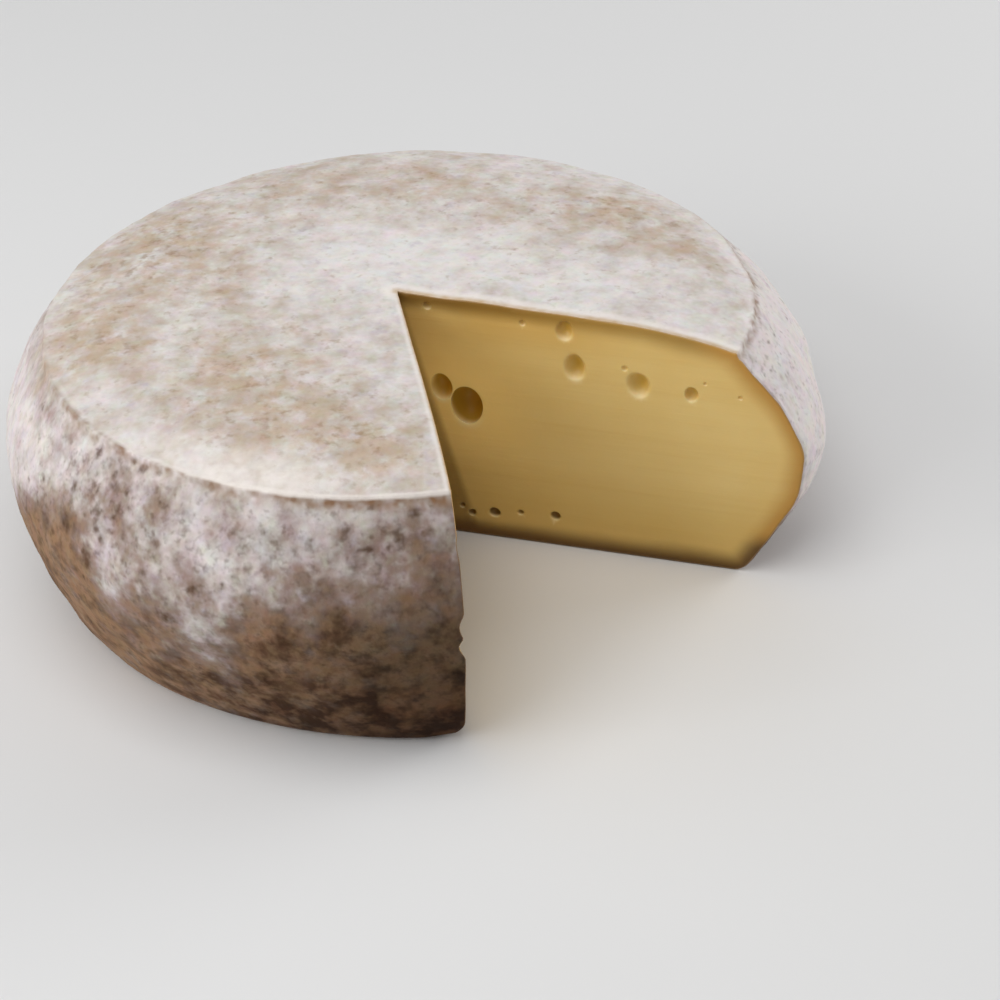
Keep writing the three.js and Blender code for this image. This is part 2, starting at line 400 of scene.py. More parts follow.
@dataclass(frozen=True)
class Cut:
    """One face of the cut, a plane through the wheel's middle.

    Attributes:
        angle: Angle of the face about the axis, in degrees.
        lean: Degrees by which the face draws back into the cheese towards the floor.
        side: 1 where the cheese lies anticlockwise of the face, -1 where it lies clockwise.
        dark_border: How dark the thin line beside the rind of the side is.
        apex: Where the two faces meet, at the height of the rim.
        lip_reach: Where the painted highlight on the lower lips of the eyes is strongest, as a share of an
            eye's half size.
        lip_width: How far that highlight reaches outwards from there, as the same share.
        lip_inside: How far it reaches inwards, for a shallow eye and for a deep one.
        shallow_to_deep: How sunk a shallow and a deep eye are.
    """

    angle: float
    lean: float
    side: int
    eyes: tuple[Eye, ...]
    chips: tuple[Chip, ...] = ()
    dark_border: float = 0.25
    apex: tuple[float, float, float] = (0.1, -1.1, 66.7)
    lip_reach: float = 1.02
    lip_width: float = 0.2
    lip_inside: tuple[float, float] = (0.24, 0.06)
    shallow_to_deep: tuple[float, float] = (-0.25, 0.35)

    @property
    def radians(self) -> float:
        """Angle of the face in radians."""
        return math.radians(self.angle)

    @property
    def outwards(self) -> Array:
        """Level direction along the face, away from the middle."""
        return np.array([math.cos(self.radians), math.sin(self.radians), 0.0])

    @property
    def upwards(self) -> Array:
        """Direction up the face.

        Returns:
            The direction, one unit long.
        """
        lean = math.radians(self.lean)
        level_into = np.array([-math.sin(self.radians), math.cos(self.radians), 0.0]) * self.side
        return np.array([0.0, 0.0, math.cos(lean)]) - level_into * math.sin(lean)

    @property
    def into(self) -> Array:
        """Direction square to the face, into the cheese."""
        return np.cross(self.outwards, self.upwards) * -self.side

    def measure(self, points: Array) -> Array:
        """Turns points into places on the face.

        Args:
            points: The points.

        Returns:
            For each its distance out from the apex, its height and how far it lies behind the face.
        """
        offset = points - np.array(self.apex)
        up = self.apex[2] + (offset @ self.upwards) * self.upwards[2]
        return np.stack([offset @ self.outwards, up, offset @ self.into], axis=-1)

    def in_space(self, out: Array, up: Array, behind: Array) -> Array:
        """Turns places on the face into points.

        Args:
            out: Distances from the apex, along the face.
            up: Heights.
            behind: Distances behind the face.

        Returns:
            The points.
        """
        rise = (np.asarray(up) - self.apex[2]) / self.upwards[2]
        return (np.array(self.apex) + np.asarray(out)[..., None] * self.outwards
                + rise[..., None] * self.upwards + np.asarray(behind)[..., None] * self.into)

    def distance(self, points: Array) -> Array:
        """Distance of points from this face and no further than its inner edge."""
        out, _, behind = np.moveaxis(self.measure(points), -1, 0)
        return np.hypot(np.minimum(out, 0), behind)

    def painted_lip_highlight(self, places: Array) -> Array:
        """How far each place lies on the lower lip of an eye, where a highlight is painted.

        Args:
            places: Places (out, up, behind) on the face.

        Returns:
            1 on a lip, and 0 away from it.
        """
        glow = np.zeros(len(places))
        for eye in self.eyes:
            across = (places[:, 0] - eye.out) / eye.wide
            above = (places[:, 1] - eye.up) / eye.high
            reach = np.maximum(np.hypot(across, above), 1e-6)
            below = np.clip(-above / reach, 0, 1)
            inner_width = np.interp(eye.sunk, self.shallow_to_deep, self.lip_inside)
            width = np.where(reach < self.lip_reach, inner_width, self.lip_width)
            glow += np.exp(-(((reach - self.lip_reach) / width) ** 2)) * below**2
        return np.clip(glow, 0, 1)

    def chipped(self, points: Array) -> Array:
        """Draws points of the side in where a flake is missing from this face's outer edge.

        Args:
            points: Points of the side.

        Returns:
            The same points, moved where there is a chip.
        """
        distance = self.distance(points)
        height = points[..., 2]
        for chip in self.chips:
            amount = chip.hollow(height) * (1 - smooth_step(distance, 0, chip.width))
            points = points + amount[..., None] * (self.into - chip.sunk * self.outwards)
        return points

    def hollowed(self, places: Array, edge: Array) -> Array:
        """How far behind the face its places lie, beside the chips of its outer edge.

        Args:
            places: Places (out, up, behind) on the face.
            edge: Places of the outer edge, from the foot up.

        Returns:
            One distance for each place.
        """
        from_edge = np.interp(places[:, 1], edge[:, 1], edge[:, 0]) - places[:, 0]
        hollow = np.zeros(len(places))
        for chip in self.chips:
            fade = 1 - smooth_step(from_edge, 0, chip.reach)
            hollow += chip.hollow(places[:, 1] + chip.slant * from_edge) * fade
        return hollow


LEFT_CUT = Cut(
    angle=-84.75, lean=1.4, side=-1,
    eyes=(
        Eye(32.8, 22.6, 5.4, 6.3, 0.2), Eye(15.4, 32.8, 3.3, 3.8, -0.2), Eye(33.0, 58.4, 2.3, 2.1),
        Eye(32.2, 7.3, 2.2, 2.1), Eye(58.7, 14.7, 2.7, 3.0, 0.1), Eye(65.3, 6.3, 1.6, 1.4),
        Eye(91.6, 31.8, 1.4, 1.4), Eye(10.2, 65.2, 1.4, 1.4), Eye(22.5, 60.0, 1.0, 1.0),
        Eye(27.6, 62.5, 1.1, 1.1), Eye(44.4, 12.5, 1.0, 0.9), Eye(51.3, 7.6, 1.0, 0.9),
        Eye(82.5, 24.1, 0.9, 0.9), Eye(59.4, 4.4, 0.8, 0.7), Eye(71.2, 7.7, 1.1, 1.1),
        Eye(76.4, 7.9, 0.9, 0.8), Eye(82.5, 13.8, 0.9, 0.9), Eye(67.7, 61.9, 0.9, 0.9),
        Eye(18.3, 64.0, 0.7, 0.7),
    ),
    chips=(Chip(39.7, 4.4, 1.15), Chip(33.7, 3.5, 1.4), Chip(59.0, 3.0, 0.3),
           Chip(0.0, 7.0, 5.2, width=11.0, bluntness=0.7)),
    dark_border=0.95,
)
RIGHT_CUT = Cut(
    angle=-22.3, lean=0.0, side=1,
    eyes=(
        Eye(16.4, 39.9, 4.3, 5.6, 0.35), Eye(9.9, 44.6, 2.9, 3.9, 0.1), Eye(45.9, 55.3, 2.6, 3.8, -0.25),
        Eye(43.7, 65.6, 2.2, 2.6, -0.25), Eye(62.4, 52.4, 2.9, 3.5, -0.3), Eye(76.0, 51.5, 1.7, 2.1, 0.1),
        Eye(21.9, 7.6, 1.7, 1.3), Eye(38.6, 9.1, 1.4, 1.3), Eye(15.7, 6.6, 1.1, 1.0),
        Eye(7.7, 68.2, 1.1, 1.0), Eye(29.1, 8.7, 0.9, 0.8), Eye(13.1, 8.5, 0.8, 0.8),
        Eye(32.8, 66.5, 0.8, 0.8), Eye(59.0, 56.8, 0.8, 0.8), Eye(79.7, 55.1, 0.5, 0.5),
        Eye(88.6, 52.3, 0.6, 0.6),
    ),
)


@dataclass
class Patch:
    """One stretch of the skin.

    Attributes:
        faces: Corner numbers of its faces, wound so that they point out of the cheese.
        finish: What the faces show.
        values: Numbers painted on the points, by name.
    """

    points: Array
    faces: list[tuple[int, ...]]
    finish: Finish
    values: dict[str, Array] = field(default_factory=dict)


def fill(outline: Array, inner: Array, holes: list[Array]) -> list[tuple[int, int, int]]:
    """Fills a flat outline with triangles.

    Args:
        outline: Points of the outline in order, anticlockwise.
        inner: Loose points inside.
        holes: Outlines of the holes, each in order.

    Returns:
        Triangles, anticlockwise, numbered over the outline, then the holes, then the inner points.
    """
    loops = [outline, *holes]
    points = np.concatenate([*loops, inner])
    edges = []
    start = 0
    for loop in loops:
        count = len(loop)
        edges += [(start + i, start + (i + 1) % count) for i in range(count)]
        start += count
    made = delaunay_2d_cdt([Vector(p) for p in points], edges, [], 1, 1e-7)
    original = [ids[0] for ids in made[3]]
    triangles = np.array([[original[v] for v in face] for face in made[2]])
    middles = points[triangles].mean(axis=1)
    keep = np.ones(len(triangles), bool)
    for hole in holes:
        keep &= ~inside(middles, hole)
    keep &= inside(middles, outline)
    return [tuple(map(int, triangle)) for triangle in triangles[keep]]


def inside(points: Array, loop: Array) -> Array:
    """Whether each point lies inside a closed outline.

    Args:
        points: Points to test.
        loop: The outline's points in order.

    Returns:
        One true or false for each point.
    """
    result = np.zeros(len(points), bool)
    ends = np.roll(loop, -1, axis=0)
    for (x0, y0), (x1, y1) in zip(loop, ends):
        if y0 == y1:
            continue
        crosses = (y0 > points[:, 1]) != (y1 > points[:, 1])
        at = x0 + (points[:, 1] - y0) * (x1 - x0) / (y1 - y0)
        result ^= crosses & (points[:, 0] < at)
    return result


def distance_to_path(points: Array, path: Array) -> Array:
    """Distance of each flat point from an open path.

    Args:
        points: Points to measure from.
        path: The path's points in order.

    Returns:
        The shortest distances.
    """
    nearest = np.full(len(points), np.inf)
    for start, end in zip(path[:-1], path[1:]):
        along = end - start
        length = along @ along
        if length == 0:
            continue
        share = np.clip(((points - start) @ along) / length, 0, 1)
        nearest = np.minimum(nearest, np.linalg.norm(points - start - share[:, None] * along, axis=1))
    return nearest


def hexagon_grid(low: Array, high: Array, spacing: float) -> Array:
    """Points of a close-packed grid over a box.

    Args:
        low: The box's lowest corner.
        high: The box's highest corner.
        spacing: Distance between neighbours.

    Returns:
        The grid's points.
    """
    row_step = spacing * math.sqrt(3) / 2
    rows = np.arange(low[1], high[1], row_step)
    columns = np.arange(low[0], high[0], spacing)
    x, y = np.meshgrid(columns, rows)
    x = x + (np.arange(len(rows)) % 2)[:, None] * spacing / 2
    return np.stack([x.ravel(), y.ravel()], axis=-1)


@dataclass
class CheeseSkin:
    """The wheel's closed skin, put together from patches that share their border points.

    Attributes:
        left: The cut face nearer to -Y.
        right: The cut face nearer to +X.
        edge_inset: Distance of the row beside each cut edge, which lets the edge be rounded.
        edge_rounding: How far the cut edges are drawn in.
        edge_clear: Room past that row that stays free of loose points on a cut face.
        eye_clear: The same round an eye.
        search_range: Half of the range in which a cut's angle is sought, in degrees.
        lip_rings: For each ring of a lip its spread and its depth, as shares of the lip's width.
    """

    form: WheelForm = field(default_factory=WheelForm)
    left: Cut = LEFT_CUT
    right: Cut = RIGHT_CUT
    column_spacing: float = 1.05
    row_spacing: float = 0.98
    rim_spacing: float = 0.38
    top_spacing: float = 1.12
    base_spacing: float = 3.0
    face_spacing: float = 1.3
    base_edge_spacing: float = 1.68
    edge_inset: float = 0.45
    edge_rounding: float = 0.17
    edge_clear: float = 0.45
    eye_clear: float = 0.22
    halvings: int = 46
    search_range: float = 6.0
    lip_rings: tuple[tuple[float, float], ...] = ((1.0, 0.0), (0.45, 0.16), (0.08, 0.55))

    def __post_init__(self) -> None:
        """Works out the rows of the side and where the cuts cross them."""
        self.row_points, self.row_from_rim = self.form.rows(self.row_spacing, self.rim_spacing)
        self.side_points = self._side_grid()
        self.left_edge = self.side_points[:, -1]
        self.right_edge = self.side_points[:, 0]
        apex_x, apex_y = np.array(self.left.apex[:2])
        self.top_apex = self._apex_at(float(self.form.top_height(apex_x, apex_y)))
        self.base_apex = self._apex_at(0.0)
        self.left_top = self._top_edge(self.left, self.left_edge[-1])
        self.right_top = self._top_edge(self.right, self.right_edge[-1])
        self.left_base = self._base_edge(self.left, self.left_edge)
        self.right_base = self._base_edge(self.right, self.right_edge)

    def _apex_at(self, height: float) -> Array:
        """Point at a height on the line where the two cut faces meet."""
        line = np.cross(self.left.into, self.right.into)
        return np.array(self.left.apex) + line / line[2] * (height - self.left.apex[2])

    def _cut_angles(self, cut: Cut, turns: float) -> Array:
        """Angle at which each row of the side meets a cut face.

        Args:
            cut: The face.
            turns: Whole turns to add, so that the angles of the side run on.

        Returns:
            One angle for each row.
        """
        reach = math.radians(self.search_range)
        centre = cut.radians + turns * FULL_TURN
        low = np.full(len(self.row_points), centre - reach)
        high = np.full(len(self.row_points), centre + reach)
        for _ in range(self.halvings):
            middle = (low + high) / 2
            points = self.form.place(self.row_points[:, 0], middle, self.row_points[:, 1])
            behind = (points - np.array(cut.apex)) @ cut.into
            too_low = behind * cut.side < 0
            low = np.where(too_low, middle, low)
            high = np.where(too_low, high, middle)
        return (low + high) / 2

    def _side_grid(self) -> Array:
        """Works out the points of the side.

        Returns:
            The points, in rows up the outline and columns from the right cut round to the left.
        """
        start = self._cut_angles(self.right, 0)
        end = self._cut_angles(self.left, 1)
        length = self.form.belly_radius * float((end - start).mean())
        count = int(length / self.column_spacing)
        inset = self.edge_inset / length
        shares = np.concatenate([[0], np.linspace(inset, 1 - inset, count), [1]])
        angles = start[:, None] + (end - start)[:, None] * shares[None, :]
        radius = np.broadcast_to(self.row_points[:, :1], angles.shape)
        height = np.broadcast_to(self.row_points[:, 1:], angles.shape)
        points = self.form.place(radius, angles, height)
        for cut in (self.left, self.right):
            points = cut.chipped(points)
        return points

    def _top_edge(self, cut: Cut, end: Array) -> Array:
        """Points of a cut's edge on the top face.

        Args:
            cut: The face.
            end: Where the edge meets the top ring.

        Returns:
            Points from the apex out to the top ring, both left out.
        """
        reach = cut.measure(end)[0]
        start = cut.measure(self.top_apex)[0]
        count = int((reach - start) / self.top_spacing)
        out = start + (reach - start) * np.arange(1, count) / count
        up = np.full(len(out), self.form.rim_height)
        for _ in range(6):
            points = cut.in_space(out, up, np.zeros(len(out)))
            up = self.form.top_height(points[:, 0], points[:, 1])
        return cut.in_space(out, up, np.zeros(len(out)))

    def _base_edge(self, cut: Cut, edge: Array) -> Array:
        """Points of a cut's edge on the base.

        Args:
            cut: The face.
            edge: Points of its edge on the side, from the foot up.

        Returns:
            Points from the apex out to the foot, both left out.
        """
        places = cut.measure(edge)
        start = cut.measure(self.base_apex)
        reach = places[0, 0] - start[0]
        count = int(reach / self.base_edge_spacing)
        out = start[0] + reach * np.arange(1, count) / count
        flat = np.stack([out, np.full(len(out), start[1]), np.zeros(len(out))], axis=-1)
        points = cut.in_space(out, flat[:, 1], cut.hollowed(flat, places))
        points[:, 2] = 0.0
        return points

    def side(self) -> Patch:
        """Makes the side.

        Returns:
            The patch, from the foot over the rim to the top ring.
        """
        rows, columns = self.side_points.shape[:2]
        number = np.arange(rows * columns).reshape(rows, columns)
        corners = np.stack([number[:-1, :-1], number[:-1, 1:], number[1:, 1:], number[1:, :-1]], axis=-1)
        faces = [tuple(map(int, face)) for face in corners.reshape(-1, 4)]
        radius = self.row_points[:, 0]
        values = {
            "from_rim": np.repeat(self.row_from_rim, columns),
            "on_side": np.repeat(np.where(self.row_from_rim < 0, 0.0, self.form.on_side(radius)), columns),
        }
        return Patch(self.side_points.reshape(-1, 3), faces, Finish.RIND, values)

    def _flat_face(self, ring: Array, left: Array, right: Array, apex: Array, spacing: float,
                   height_of: Callable[[Array, Array], Array]) -> tuple[Array, list[tuple[int, int, int]]]:
        """Fills the top face or the base.

        Args:
            ring: Border points from the right cut round to the left cut.
            left: Points of the left cut's edge, from the apex outwards.
            right: Points of the right cut's edge, from the apex outwards.
            apex: Where the two edges meet.
            spacing: Distance between inner points.
            height_of: Height of the face over a point.

        Returns:
            Points and triangles that point up.
        """
        border = np.concatenate([ring, left[::-1], apex[None], right])
        beside = []
        for cut, edge in ((self.left, left), (self.right, right)):
            level_into = cut.into[:2] / np.linalg.norm(cut.into[:2])
            beside.append(edge[:, :2] + level_into * self.edge_inset)
        low, high = border[:, :2].min(axis=0), border[:, :2].max(axis=0)
        grid = hexagon_grid(low, high, spacing)
        grid = grid[inside(grid, border[:, :2])]
        clear = spacing * 0.6
        far = distance_to_path(grid, np.concatenate([left[::-1, :2], apex[None, :2], right[:, :2]]))
        radius = np.hypot(grid[:, 0], grid[:, 1])
        ring_radius = np.interp(np.arctan2(grid[:, 1], grid[:, 0]) % FULL_TURN, *self._ring_radii(ring))
        grid = grid[(far > clear + self.edge_inset) & (radius < ring_radius - clear)]
        inner = np.concatenate([*beside, grid])
        triangles = fill(border[:, :2], inner, [])
        points = np.concatenate([border, np.column_stack([inner, height_of(inner[:, 0], inner[:, 1])])])
        return points, triangles

    @staticmethod
    def _ring_radii(ring: Array) -> tuple[Array, Array]:
        """Reads a ring of points as a radius for each angle.

        Args:
            ring: The points.

        Returns:
            Their angles in order, and the radius at each.
        """
        angle = np.arctan2(ring[:, 1], ring[:, 0]) % FULL_TURN
        order = np.argsort(angle)
        return angle[order], np.hypot(ring[:, 0], ring[:, 1])[order]

    def top(self) -> Patch:
        """Makes the top face inside the top ring.

        Returns:
            The patch.
        """
        points, faces = self._flat_face(self.side_points[-1], self.left_top, self.right_top,
                                        self.top_apex, self.top_spacing, self.form.top_height)
        angle = np.arctan2(points[:, 1], points[:, 0])
        radius = np.hypot(points[:, 0], points[:, 1]) / self.form.unevenness(angle)
        values = {"from_rim": radius - self.form.rim_radius, "on_side": np.zeros(len(points))}
        return Patch(points, faces, Finish.RIND, values)

    def base(self) -> Patch:
        """Makes the flat base.

        Returns:
            The patch.
        """
        points, faces = self._flat_face(self.side_points[0], self.left_base, self.right_base,
                                        self.base_apex, self.base_spacing, lambda x, y: np.zeros(len(x)))
        turned = [(a, c, b) for a, b, c in faces]
        values = {"from_rim": np.full(len(points), float(self.row_from_rim[0])),
                  "on_side": np.ones(len(points))}
        return Patch(points, turned, Finish.RIND, values)

    def _eye_rings(self, eye: Eye, number: int, room: float) -> list[Array]:
        """Rings of an eye as (out, up, behind), from its lip on the face down to the bottom.

        Args:
            eye: The eye.
            number: Its number on the face, which turns its unevenness.
            room: Distance to the nearest other eye, which limits the lip.

        Returns:
            The rings in order. The last holds the bottom point alone.
        """
        size = (eye.wide + eye.high) / 2
        sides = int(np.clip(size * 11, 14, 56))
        lip = min(0.12 * size + 0.12, room * 0.3)
        angle = np.arange(sides) * FULL_TURN / sides
        phase = number * GOLDEN_RATIO * FULL_TURN
        wobble = 0.045 * np.sin(2 * angle + phase) + 0.03 * np.sin(3 * angle + 2 * phase)
        uneven = 1 + wobble * min(room, 1.0)
        stretch = 1 / math.sqrt(1 - eye.sunk**2)
        depth_radius = size * stretch

        def ring(spread: float, grown: float, behind: float, unevenness: Array) -> Array:
            """One ring of the eye.

            Args:
                spread: Its size, as a share of the opening's.
                grown: Distance by which it is larger than that.
                behind: How far it lies behind the face.
                unevenness: Factors for its radius.

            Returns:
                The ring's points.
            """
            out = eye.out + (eye.wide * spread + grown) * np.cos(angle) * unevenness
            up = eye.up + (eye.high * spread + grown) * np.sin(angle) * unevenness
            return np.stack([out, up, np.full(sides, behind)], axis=-1)

        rings = [ring(1, lip * grown, lip * behind, uneven) for grown, behind in self.lip_rings]
        opening = math.acos(-eye.sunk)
        steps = int(np.clip(size * 3.2, 3, 16))
        for i in range(1, steps):
            polar = opening * (1 - i / steps)
            behind = depth_radius * (math.cos(polar) + eye.sunk)
            if behind <= lip * 0.6:
                continue
            spread = stretch * math.sin(polar)
            calmer = 1 + (uneven - 1) * spread
            rings.append(ring(spread, 0.0, behind, calmer))
        bottom = [[eye.out, eye.up, depth_radius * (1 + eye.sunk)]]
        return [*rings, np.array(bottom)]

    def cut_face(self, cut: Cut, edge: Array, top: Array, base: Array) -> Patch:
        """One face of the cut with its eyes.

        Args:
            cut: The face.
            edge: Its border on the side, from the foot up to the top ring.
            top: Its border on the top face, from the apex outwards.
            base: Its border on the base, from the apex outwards.

        Returns:
            The patch, in the paste's finish.
        """
        steps = int((self.top_apex[2] - self.base_apex[2]) / self.face_spacing)
        fall = np.linspace(self.top_apex[2], self.base_apex[2], steps)[1:-1]
        apex_line = np.array([self._apex_at(float(z)) for z in fall])
        border = np.concatenate([self.base_apex[None], base, edge, top[::-1], self.top_apex[None], apex_line])
        flat = cut.measure(border)[:, :2]
        skin_count = 1 + len(base) + len(edge) + len(top) + 1
        skin = flat[:skin_count]
        rooms = [min((math.hypot(e.out - o.out, e.up - o.up) - (e.wide + e.high + o.wide + o.high) / 2
                      for o in cut.eyes if o is not e), default=9.0) for e in cut.eyes]
        eyes = [self._eye_rings(eye, number, max(room, 0.25))
                for number, (eye, room) in enumerate(zip(cut.eyes, rooms))]
        beside = self._inset_row(skin)
        grid = hexagon_grid(flat.min(axis=0), flat.max(axis=0), self.face_spacing)
        around = np.concatenate([self._around(rings[0]) for rings in eyes])
        loose = np.concatenate([around, grid])
        crowded = np.zeros(len(loose), bool)
        crowded[len(around):] = [
            np.min(np.hypot(*(around - p).T)) < self.face_spacing * 0.62 for p in grid]
        loose = loose[~crowded]
        closed = np.concatenate([flat, flat[:1]])
        keep = inside(loose, flat)
        keep &= distance_to_path(loose, closed) > self.edge_inset + self.edge_clear
        for rings in eyes:
            rim = rings[0][:, :2]
            looped = np.concatenate([rim, rim[:1]])
            keep &= ~inside(loose, rim) & (distance_to_path(loose, looped) > self.eye_clear)
        inner = np.concatenate([beside, loose[keep]])
        holes = [rings[0][:, :2] for rings in eyes]
        triangles = fill(flat, inner, holes)
        places = [np.column_stack([flat, np.zeros(len(flat))])]
        places += [rings[0] for rings in eyes]
        places += [np.column_stack([inner, np.zeros(len(inner))])]
        faces = list(triangles)
        starts = np.cumsum([len(flat)] + [len(rings[0]) for rings in eyes])
        total = sum(len(p) for p in places)
        for rings, start in zip(eyes, starts):
            faces += self._bowl(rings, int(start), total)
            places += rings[1:]
            total += sum(len(ring) for ring in rings[1:])
        place = np.concatenate(places)
        hollow = cut.hollowed(place, cut.measure(edge))
        points = cut.in_space(place[:, 0], place[:, 1], place[:, 2] + hollow)
        points[:len(border)] = border
        if cut.side < 0:
            faces = [tuple(reversed(face)) for face in faces]
        depth = distance_to_path(place[:, :2], skin)
        values = {"rind_depth": depth, "face_out": place[:, 0], "face_up": place[:, 1],
                  "eye_depth": place[:, 2], "painted_lip_highlight": cut.painted_lip_highlight(place),
                  "dark_border": np.full(len(place), cut.dark_border)}
        return Patch(points, faces, Finish.PASTE, values)

    def _inset_row(self, skin: Array) -> Array:
        """Row of points beside the rind on a cut face.

        Args:
            skin: Border points along the rind, in order.

        Returns:
            One point for each border point, without those that crowd a corner.
        """
        along = np.gradient(skin, axis=0)
        inward = np.stack([-along[:, 1], along[:, 0]], axis=-1)
        inward /= np.linalg.norm(inward, axis=1, keepdims=True)
        row = skin + inward * self.edge_inset
        row = row[3:-3]
        closed = np.concatenate([skin, skin[:1]])
        row = row[distance_to_path(row, closed) > self.edge_inset * 0.8]
        apart = np.concatenate([[True], np.linalg.norm(np.diff(row, axis=0), axis=1) > 0.12])
        return row[apart]

    @staticmethod
    def _around(rim: Array) -> Array:
        """Points just outside an eye's rim, so that the triangles grow evenly away from it."""
        middle = rim[:, :2].mean(axis=0)
        return np.concatenate([middle + (rim[start::2, :2] - middle) * grown
                               for start, grown in ((0, 1.14), (1, 1.32))])

    @staticmethod
    def _bowl(rings: list[Array], rim_start: int, inner_start: int) -> list[tuple[int, ...]]:
        """Faces between the rings of an eye.

        Args:
            rings: The rings from the lip to the bottom point.
            rim_start: Number of the first point of the lip.
            inner_start: Number of the first point of the ring below it.

        Returns:
            Faces wound like the face of the cut.
        """
        sides = len(rings[0])
        starts = [rim_start] + [inner_start + sides * i for i in range(len(rings) - 1)]
        faces: list[tuple[int, ...]] = []
        for upper, lower in zip(starts[:-2], starts[1:-1]):
            for i in range(sides):
                j = (i + 1) % sides
                faces.append((upper + i, upper + j, lower + j, lower + i))
        last, bottom = starts[-2], starts[-1]
        faces += [(last + i, last + (i + 1) % sides, bottom) for i in range(sides)]
        return faces

    def patches(self) -> list[Patch]:
        """All the patches of the skin."""
        return [
            self.side(), self.top(), self.base(),
            self.cut_face(self.left, self.left_edge, self.left_top, self.left_base),
            self.cut_face(self.right, self.right_edge, self.right_top, self.right_base),
        ]


@dataclass
class Skin:
    """Patches welded into one mesh, with the values painted on its points.

    Attributes:
        finishes: What each face shows, as a material index.
        values: Numbers painted on the points, by name.
    """

    points: Array
    faces: list[tuple[int, ...]]
    finishes: Array
    values: dict[str, Array]

    @classmethod
    def weld(cls, patches: list[Patch]) -> "Skin":
        """Joins patches where their points are the same, and drops points that no face uses.

        Args:
            patches: The patches.

        Returns:
            The welded skin.
        """
        starts = np.cumsum([0] + [len(patch.points) for patch in patches])
        every = np.round(np.concatenate([patch.points for patch in patches]), 6)
        corners = [tuple(int(start) + corner for corner in face)
                   for start, patch in zip(starts, patches) for face in patch.faces]
        used = np.unique(np.concatenate([np.array(face) for face in corners]))
        points, number = np.unique(every[used], axis=0, return_inverse=True)
        renamed = np.full(len(every), -1)
        renamed[used] = number.reshape(-1)
        faces = [tuple(int(renamed[corner]) for corner in face) for face in corners]
        finishes = np.concatenate([np.full(len(patch.faces), patch.finish.value) for patch in patches])
        values = {name: np.zeros(len(points)) for patch in patches for name in patch.values}
        for start, patch in zip(starts, patches):
            own = renamed[start:start + len(patch.points)]
            for name, numbers in patch.values.items():
                values[name][own[own >= 0]] = numbers[own >= 0]
        return cls(points, faces, finishes, values)

    def normals(self, finish: Finish) -> Array:
        """Direction out of the cheese at each point, from the faces of one finish alone.

        Args:
            finish: The finish whose faces count.

        Returns:
            Unit directions, or zero where no such face meets the point.
        """
        own = [face for face, shown in zip(self.faces, self.finishes) if shown == finish.value]
        first = np.array([face[:3] for face in own])
        second = np.array([(face[0], face[2], face[3]) for face in own if len(face) == 4])
        triangles = np.concatenate([first, second]) if len(second) else first
        a, b, c = (self.points[triangles[:, corner]] for corner in range(3))
        square = np.cross(b - a, c - a)
        total = np.zeros_like(self.points)
        for corner in range(3):
            np.add.at(total, triangles[:, corner], square)
        length = np.linalg.norm(total, axis=1, keepdims=True)
        return total / np.where(length > 0, length, 1)


class Wire:
    """A socket that a node tree reads, with the operators that add its Math nodes."""

    def __init__(self, board: "Board", socket: bpy.types.NodeSocket) -> None:
        """Keeps the socket and the board that it is on."""
        self.board = board
        self.socket = socket

    def _math(self, operation: str, first: "Number", second: "Number" = 0.0) -> "Wire":
        """Adds one Math node and returns its result."""
        made = self.board.node("ShaderNodeMath", {"operation": operation}, {0: first, 1: second})
        return Wire(self.board, made.outputs[0])

    def __add__(self, other: "Number") -> "Wire":
        """Sum."""
        return self._math("ADD", self, other)

    def __radd__(self, other: "Number") -> "Wire":
        """Sum, with the number first."""
        return self._math("ADD", other, self)

    def __sub__(self, other: "Number") -> "Wire":
        """Difference."""
        return self._math("SUBTRACT", self, other)

    def __rsub__(self, other: "Number") -> "Wire":
        """Difference, with the number first."""
        return self._math("SUBTRACT", other, self)

    def __mul__(self, other: "Number") -> "Wire":
        """Product."""
        return self._math("MULTIPLY", self, other)

    def __rmul__(self, other: "Number") -> "Wire":
        """Product, with the number first."""
        return self._math("MULTIPLY", other, self)

    def __truediv__(self, other: "Number") -> "Wire":
        """Quotient."""
        return self._math("DIVIDE", self, other)

    def __rtruediv__(self, other: "Number") -> "Wire":
        """Quotient, with the number first."""
        return self._math("DIVIDE", other, self)

    def __gt__(self, other: "Number") -> "Wire":
        """1 where this is greater, and 0 elsewhere."""
        return self._math("GREATER_THAN", self, other)

    def share(self) -> "Wire":
        """This value held between 0 and 1."""
        return self._math("MAXIMUM", self._math("MINIMUM", self, 1.0), 0.0)

    def step(self, low: float, high: float) -> "Wire":
        """Eased step of this value.

        Args:
            low: Value at which the step is 0.
            high: Value at which it is 1. The step falls where this is the lower.

        Returns:
            The step, between 0 and 1.
        """
        ends = {"Value": self, "From Min": min(low, high), "From Max": max(low, high),
                "To Min": 0.0 if low < high else 1.0, "To Max": 1.0 if low < high else 0.0}
        made = self.board.node("ShaderNodeMapRange", {"interpolation_type": "SMOOTHSTEP"}, ends)
        return Wire(self.board, made.outputs[0])


Number = Wire | float
Colour = Wire | Tone
Readings = dict[str, Wire]
Ease = tuple[float, float]  # where an eased step is 0 and where it is 1


